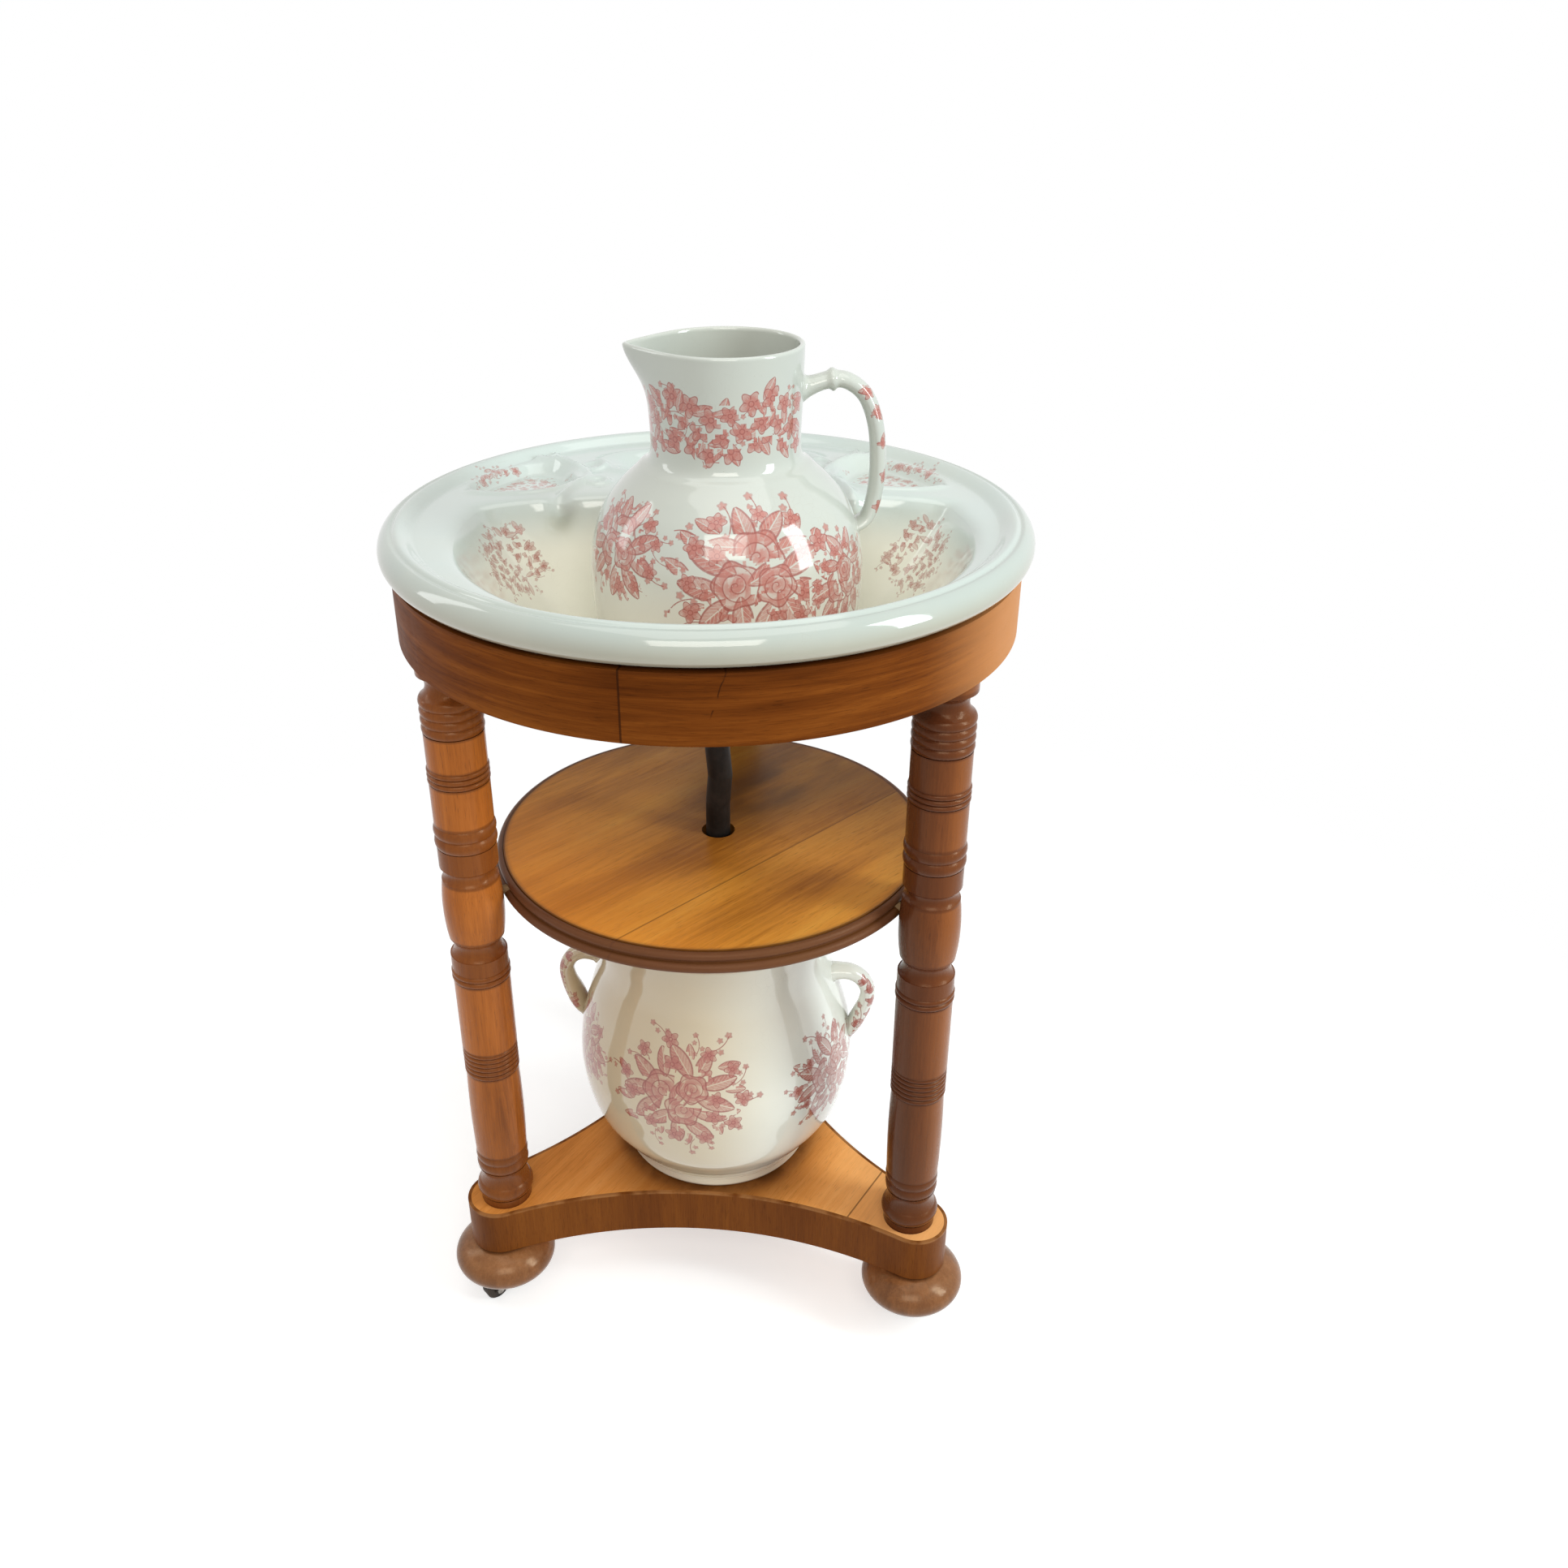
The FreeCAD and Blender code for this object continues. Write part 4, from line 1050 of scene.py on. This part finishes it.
def board_edge(paint, x, y, z):
    """Lighter arris along the top edge of the base: wear, and a painted highlight along it."""
    # Wear and painted highlight: a lighter mottled band along the top edge
    worn_and_highlight = (z - base_top).within(0.0022) * paint.mottle(40.0, 3.0).rise(0.35, 0.6)
    return [(worn_and_highlight * 0.6, (0.44, 0.2, 0.07))]


def pail_shadow_and_stain(paint, x, y, z):
    """Painted shadow of the pail where it stands, a ring at its foot that is water stain and
    painted contact shadow, painted shade to the left, painted light to the right, and the joint.
    """
    reach = (x * x * 1.6 + y * y).power(0.5)
    out = reach_of(x, y)
    ring = out.rise(pail_foot * 0.86, pail_foot)
    ring = ring * out.fall(pail_foot * 1.02, pail_foot * 1.2)
    patch = paint.mottle(34.0, 4.0, 0.6).rise(0.32, 0.6)
    return [
        # Painted shade on the left, painted light on the right
        (x.fall(-0.15, 0.12) * 0.3, (0.36, 0.115, 0.018)),
        (x.rise(0.09, 0.2) * 0.55, (1.0, 0.54, 0.22)),
        # Painted shadow of the pail on the base
        (reach.fall(pail_foot, pail_foot * 1.9) * 0.75, (0.13, 0.038, 0.007)),
        # Ring at the foot: water stain and painted contact shadow
        (ring * (patch * 0.3 + 0.4), (0.045, 0.012, 0.003)),
        (seam(x, y, base_joint, base_joint_reach) * 0.7, joint_brown),
    ]


# Ceramic glaze and its print

ink_light = (0.47, 0.162, 0.128)
ink_dark = (0.32, 0.08, 0.064)
sprig_beads = ((0.8, 0.16, 0.2), (0.15, 0.28, 0.17), (-0.35, -0.34, 0.18), (-0.8, 0.25, 0.15))


def motif_group():
    """Node group: a motif's flat coordinates and kind to ink tone and ink line."""
    tree = bpy.data.node_groups.new("printed_motif", "ShaderNodeTree")
    tree.interface.new_socket("Flat", in_out="INPUT", socket_type="NodeSocketVector")
    for name in ("Tone", "Line"):
        tree.interface.new_socket(name, in_out="OUTPUT", socket_type="NodeSocketFloat")
    paint = Paint(tree)
    source = paint.add("NodeGroupInput")
    x, y, kind = paint.split(source.outputs[0])
    reach = reach_of(x, y)
    angle = paint.math("ARCTAN2", y, x)
    tones, lines = [], []

    def mark(number, tone, line):
        mine = paint.math("COMPARE", kind, float(number), 0.3)
        tones.append(mine * tone)
        lines.append(mine * line)

    # Small blossom
    petal = (angle * 5.0).cosine()
    rim = petal * 0.17 + 0.78
    inside = reach.fall(rim - 0.05, rim)
    cleft = petal.fall(-0.97, -0.8) * reach.rise(0.24, 0.36)
    ring = (reach - 0.2).within(0.05)
    vein = (angle * 25.0).cosine().rise(0.55, 0.95)
    vein = vein * reach.rise(0.3, 0.5) * reach.fall(0.5, 0.66)
    line = (inside * cleft.most(ring).most(vein * 0.6)).most((reach - rim).within(0.05))
    mark(blossom, inside * (0.95 - reach.rise(0.3, 0.85) * 0.35), line)

    # Rose
    frill = (angle * 5.0 + 1.0).cosine() * 0.08 + 0.87
    bloom = reach.fall(frill - 0.04, frill)
    coil = (reach * 3.1 - angle / (2 * math.pi)).fraction()
    fold = (coil - 0.5).absolute().rise(0.38, 0.48)
    sheen = (angle * 2.0 + reach * 7.0).sine().rise(0.2, 0.9) * reach.rise(0.15, 0.3)
    line = (bloom * fold).most((reach - frill).within(0.04))
    mark(rose, bloom * (0.92 - coil * 0.3 - sheen * 0.42), line)

    # Leaf
    half = (1.0 - x * x).most(0.0).power(0.85) * (leaf_width - 0.02)
    aside = y.absolute()
    blade = aside.fall(half - 0.04, half)
    side_vein = ((x * -1.0 + aside * 1.3) * 4.0).fraction().rise(0.82, 0.94)
    veins = y.within(0.03).most(side_vein * 0.7)
    ends = x.absolute().fall(0.97, 1.0)
    tone = blade * (y.rise(-0.1, 0.1) * 0.25 + 0.68) * (1.0 - veins * 0.85)
    mark(leaf, ends * tone, ends * (aside - half).within(0.045))

    # Sprig
    bend = y - (x * x * 0.35 - 0.1)
    stem = bend.within(0.035) * x.absolute().fall(0.75, 0.8)
    beads = None
    for bead_x, bead_y, bead in sprig_beads:
        spot_x, spot_y = x - bead_x, y - bead_y
        lobes = (paint.math("ARCTAN2", spot_y, spot_x) * 5.0).cosine() * 0.035 + bead
        gap = reach_of(spot_x, spot_y) - lobes
        beads = gap if beads is None else beads.least(gap)
    mark(sprig, beads.fall(-0.05, 0.0) * 0.8, stem.most(beads.within(0.04) * 0.6))

    totals = [sum(marks[1:], marks[0]) for marks in (tones, lines)]
    paint.add("NodeGroupOutput", dict(enumerate(totals)))
    return tree


def printed(paint, colour, group, ink):
    """Lay the layers of motifs on a glaze colour."""
    patch = paint.mottle(420.0, 3.0, 0.6).rise(0.28, 0.5)
    for name in layer_names:
        flat = paint.add("ShaderNodeAttribute", attribute_name=name).outputs["Vector"]
        motif = paint.add("ShaderNodeGroup", node_tree=group)
        paint.put(flat, motif.inputs[0])
        tone = Value(paint, motif.outputs[0]) * (patch * 0.35 + 0.65) * ink
        line = Value(paint, motif.outputs[1]).least(1.0) * (patch * 0.3 + 0.55) * ink
        colour = paint.lay(colour, (tone.least(1.0), ink_light), (line, ink_dark))
    return colour


def glaze(name, group, tint, pooling_and_shade, ink):
    """Old lead glaze: pooled colour that is partly painted shade in hollows and beside other parts,
    faint crazing, specks and a slightly wavy skin.
    """
    material, paint, shader = new_material(name)
    cloud = paint.mottle(9.0, 4.0, 0.6)
    # Glaze pooling and painted shade: ambient occlusion, which also finds other parts close by,
    # tints hollows
    pooled_and_shade = paint.hollow(0.016).fall(0.45, 0.95)
    inputs = {"Vector": paint.place(), "Scale": 130.0}
    craze = paint.value("ShaderNodeTexVoronoi", "Distance", inputs, feature="DISTANCE_TO_EDGE")
    crack = craze.fall(0.0, 0.025)
    patchy = paint.mottle(14.0, 2.0).rise(0.52, 0.72)
    speck = paint.mottle(620.0, 1.0).rise(0.8, 0.84)
    wavy = paint.mottle(38.0, 2.0, 0.5)
    colour = paint.lay(
        *tint(*paint.xyz()),
        (cloud.rise(0.35, 0.75) * 0.22, (0.62, 0.6, 0.5)),
        (pooled_and_shade * pooling_and_shade, (0.36, 0.4, 0.34)),
    )
    colour = paint.lay(
        printed(paint, colour, group, ink),
        (crack * patchy * 0.16, (0.36, 0.31, 0.22)),
        (speck * 0.35, (0.3, 0.25, 0.18)),
    )
    paint.fill(shader, {
        "Base Color": colour,
        "Roughness": cloud * 0.1 + crack * patchy * 0.08 + 0.03,
        "Normal": paint.bump(wavy - crack * 0.01, 0.1, 0.0012),
        "Coat Weight": 0.35,
        "Coat Roughness": 0.04,
        "IOR": 1.52,
    })
    return material


# Tints of the ware, with painted light and shade in some: a colour, and coats over it at a place


def basin_tint(x, y, z):
    """Cool white rim and flange over a cream bowl, darker and creamier again under the roll, which
    is painted shade.
    """
    out = reach_of(x, y)
    high = z.rise(flange_top - 0.05, flange_top - 0.004)
    rim = out.rise(rim_radius - rim_roll * 1.4, rim_radius - rim_roll * 0.5)
    under = z.fall(apron_top, apron_top + rim_roll * 1.9)
    return [
        (0.9, 0.9, 0.79),
        (high, (0.58, 0.655, 0.62)),
        (rim, (0.455, 0.51, 0.47)),
        # Painted shade: darker, creamier glaze on the underside of the roll
        (out.rise(rim_radius - rim_roll, rim_radius) * under, (0.49, 0.44, 0.31)),
    ]


def jug_tint(x, y, z):
    """Creamier towards the foot."""
    high = z.rise(jug_low.z + 0.08, jug_low.z + 0.17)
    return [(0.68, 0.64, 0.55), (high, (0.53, 0.56, 0.51))]


def pail_tint(x, y, z):
    """Yellow to the left, which is painted warm light from the wood, cool white to the right, and a
    paler foot, which is painted light.
    """
    # Painted light: the foot is paler, standing in for light from the base
    foot = z.fall(pail_low.z + 0.012, pail_low.z + 0.022)
    # Painted light: yellow base colour to the left, cool white to the right
    side = (x.rise(-0.02, 0.11), (0.86, 0.88, 0.81))
    return [(0.66, 0.55, 0.37), side, (foot, (0.96, 0.86, 0.68))]


# Metals and rubber

scratch_stretch = (900, 900, 60)


def metal(name, light, dark, metallic, roughness, scale):
    """Aged metal: mottled patina, darker in corners, with fine scratches."""
    material, paint, shader = new_material(name)
    mottle = paint.noise(paint.place(), scale, 5.0, 0.65, 0.4)
    stretched = [v * s for v, s in zip(paint.xyz(), scratch_stretch)]
    scratch = paint.noise(paint.vector(*stretched), 1.0, 2.0)
    colour = paint.mix(mottle.rise(0.3, 0.7), dark, light)
    shade = paint.hollow(0.006).fall(0.2, 0.8)
    paint.fill(shader, {
        "Base Color": paint.mix(shade * 0.6, colour, tuple(c * 0.3 for c in dark)),
        "Roughness": mottle * 0.3 + scratch * 0.15 + (roughness - 0.2),
        "Normal": paint.bump(mottle * 0.5 + scratch * 0.3, 0.25, 0.0006),
        "Metallic": metallic,
    })
    return material


# Dress the solids


def dress(material, starts):
    """Give every solid whose name starts so the material."""
    for name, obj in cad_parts.items():
        if name.startswith(starts):
            for slot in obj.material_slots:
                slot.material = material


def dress_solids():
    """Woods by name, grain, three tones, figure, groove (share of painted shade in grooves),
    roughness, gloss, edge (coats of stains, wear, painted light and painted shade) and solids;
    metals by name, two tones, metallic, roughness, scale and solids."""
    right = (1.0, 0.0, 0.0)
    upright = straight_grain(up, right)
    woods = (
        ("leg_wood", upright, (0.6, 0.19, 0.035), (0.41, 0.118, 0.02), (0.16, 0.041, 0.008),
         0.7, 0.9, 0.2, 0.26, leg_bands, ("leg_front_left", "leg_rear")),
        # A darker copy of the leg wood: painted shade on the right front leg
        ("leg_wood_red", upright, (0.23, 0.07, 0.021), (0.145, 0.042, 0.014), (0.068, 0.019, 0.008),
         0.7, 0.9, 0.18, 0.22, sidelit_leg_bands, "leg_front_right"),
        ("apron_wood", ring_grain(rim_radius), (0.3, 0.09, 0.013), (0.17, 0.044, 0.006),
         (0.082, 0.019, 0.003), 1.0, 0.0, 0.42, 0.045, apron_joints, "apron_segment"),
        ("shelf_wood", straight_grain(shelf_way, up), (0.8, 0.37, 0.06), (0.68, 0.268, 0.036),
         (0.4, 0.138, 0.017), 0.85, 0.7, 0.3, 0.12, shelf_edge, "shelf_board"),
        ("base_wood", straight_grain(base_way, up), (0.92, 0.43, 0.13), (0.78, 0.31, 0.068),
         (0.5, 0.17, 0.03), 0.7, 0.0, 0.3, 0.12, pail_shadow_and_stain, "base_board"),
        ("facing_wood", upright, (0.25, 0.079, 0.011), (0.165, 0.047, 0.007), (0.085, 0.021, 0.003),
         0.55, 0.0, 0.35, 0.08, board_edge, "base_facing"),
        ("foot_wood", upright, (0.42, 0.19, 0.075), (0.29, 0.112, 0.038), (0.13, 0.046, 0.016),
         0.85, 0.8, 0.15, 0.45, foot_shade, "bun_foot"),
        ("inner_wood", straight_grain(right, up), (0.52, 0.36, 0.2), (0.42, 0.27, 0.14),
         (0.24, 0.14, 0.07), 0.8, 0.0, 0.55, 0.1, None, ("leg_block", "shelf_dowels")),
    )
    metals = (
        ("pipe_metal", (0.022, 0.016, 0.012), (0.006, 0.0045, 0.0035), 0.5, 0.5, 60.0,
         "drain_pipe"),
        ("waste_brass", (0.48, 0.34, 0.14), (0.27, 0.18, 0.075), 1.0, 0.42, 45.0,
         ("basin_waste", "waste_plug", "waste_backnut", "waste_union_nut")),
        ("washer_rubber", (0.04, 0.038, 0.036), (0.018, 0.017, 0.016), 0.0, 0.75, 200.0,
         "waste_washer"),
        ("caster_iron", (0.05, 0.036, 0.026), (0.012, 0.009, 0.007), 0.5, 0.55, 120.0,
         ("caster_plate", "caster_horn", "caster_wheel")),
        ("pin_steel", (0.45, 0.43, 0.4), (0.2, 0.18, 0.16), 1.0, 0.4, 160.0,
         ("caster_axle", "block_screws", "caster_screws")),
    )
    for make, rows in ((wood, woods), (metal, metals)):
        for *looks, solids in rows:
            dress(make(*looks), solids)


def dress_ceramics():
    """Ware by shape, print, node, body, tint, pooling with painted shade, and ink."""
    group = motif_group()
    pieces = (
        (make_basin, print_basin, "wash_basin", "stand", basin_tint, 0.4, 0.62),
        (make_jug, print_jug, "water_jug", "water_jug", jug_tint, 0.3, 1.0),
        (make_pail, print_pail, "slop_pail", "slop_pail", pail_tint, 0.1, 1.0),
    )
    for make, stamp, node, body, tint, pooling_and_shade, ink in pieces:
        obj = make()
        surface = Surface(obj)
        stamp(surface)
        surface.keep()
        obj.data.materials.clear()
        obj.data.materials.append(glaze(node + "_glaze", group, tint, pooling_and_shade, ink))
        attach(obj, body)
        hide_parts(node)


# Stage


def seen_directly(paint):
    """1 for rays from the camera, a reflection or a see-through surface."""
    path = paint.add("ShaderNodeLightPath")
    seen = Value(paint, path.outputs["Is Camera Ray"])
    for name in ("Is Glossy Ray", "Is Transmission Ray"):
        seen = seen.most(Value(paint, path.outputs[name]))
    return seen


def white_world():
    world = bpy.data.worlds.new("studio")
    world.use_nodes = True
    bpy.context.scene.world = world
    paint = Paint(world.node_tree)
    strength = seen_directly(paint).most(world_light)
    background = world.node_tree.nodes["Background"]
    paint.fill(background, {"Color": (1.0, 1.0, 1.0, 1.0), "Strength": strength})


def soft_lamp(name, place, size, power, tint):
    data = bpy.data.lights.new(name, "AREA")
    data.shape = "RECTANGLE"
    data.size, data.size_y = size
    data.energy = power
    data.color = tint
    lamp = new_object(name, data)
    lamp.location = place
    lamp.rotation_euler = (Vector(lamp_target) - Vector(place)).to_track_quat("-Z", "Y").to_euler()


def floor_material():
    """Pale floor that keeps the shadow and fades into the white round it."""
    material, paint, shader = new_material("floor")
    x, y, _ = paint.xyz()
    paint.fill(shader, {
        "Base Color": paint.mix(paint.mottle(60.0, 4.0), (0.8, 0.8, 0.8), (0.86, 0.86, 0.86)),
        "Roughness": 0.9,
        "Specular IOR Level": 0.0,
        "Emission Color": (1.0, 1.0, 1.0, 1.0),
        "Emission Strength": seen_directly(paint) * floor_glow,
    })
    clear = paint.add("ShaderNodeBsdfTransparent").outputs[0]
    inputs = {0: reach_of(x, y).rise(*floor_fade), 1: shader.outputs[0], 2: clear}
    blend = paint.add("ShaderNodeMixShader", inputs)
    paint.fill(material.node_tree.nodes["Material Output"], {"Surface": blend.outputs[0]})
    return material


def make_floor():
    angles = turns(floor_sides)
    ring = np.stack([np.cos(angles), np.sin(angles), np.zeros(floor_sides)], 1)
    ring *= floor_fade[1] * floor_margin
    mesh = bpy.data.meshes.new("floor")
    mesh.from_pydata(ring.tolist(), [], [list(range(floor_sides))])
    mesh.materials.append(floor_material())
    new_object("floor", mesh)


def make_stage():
    make_floor()
    white_world()
    for lamp in lamps:
        soft_lamp(*lamp)
    data = bpy.data.cameras.new("camera")
    data.sensor_width = camera_sensor
    data.lens = camera_lens
    data.shift_x = camera_shift
    camera = new_object("camera", data)
    camera.location = camera_place
    camera.rotation_euler = (math.pi / 2 - camera_pitch, 0.0, camera_heading)
    bpy.context.scene.camera = camera
    bpy.context.scene.view_settings.view_transform = "Standard"


dress_solids()
dress_ceramics()
make_stage()
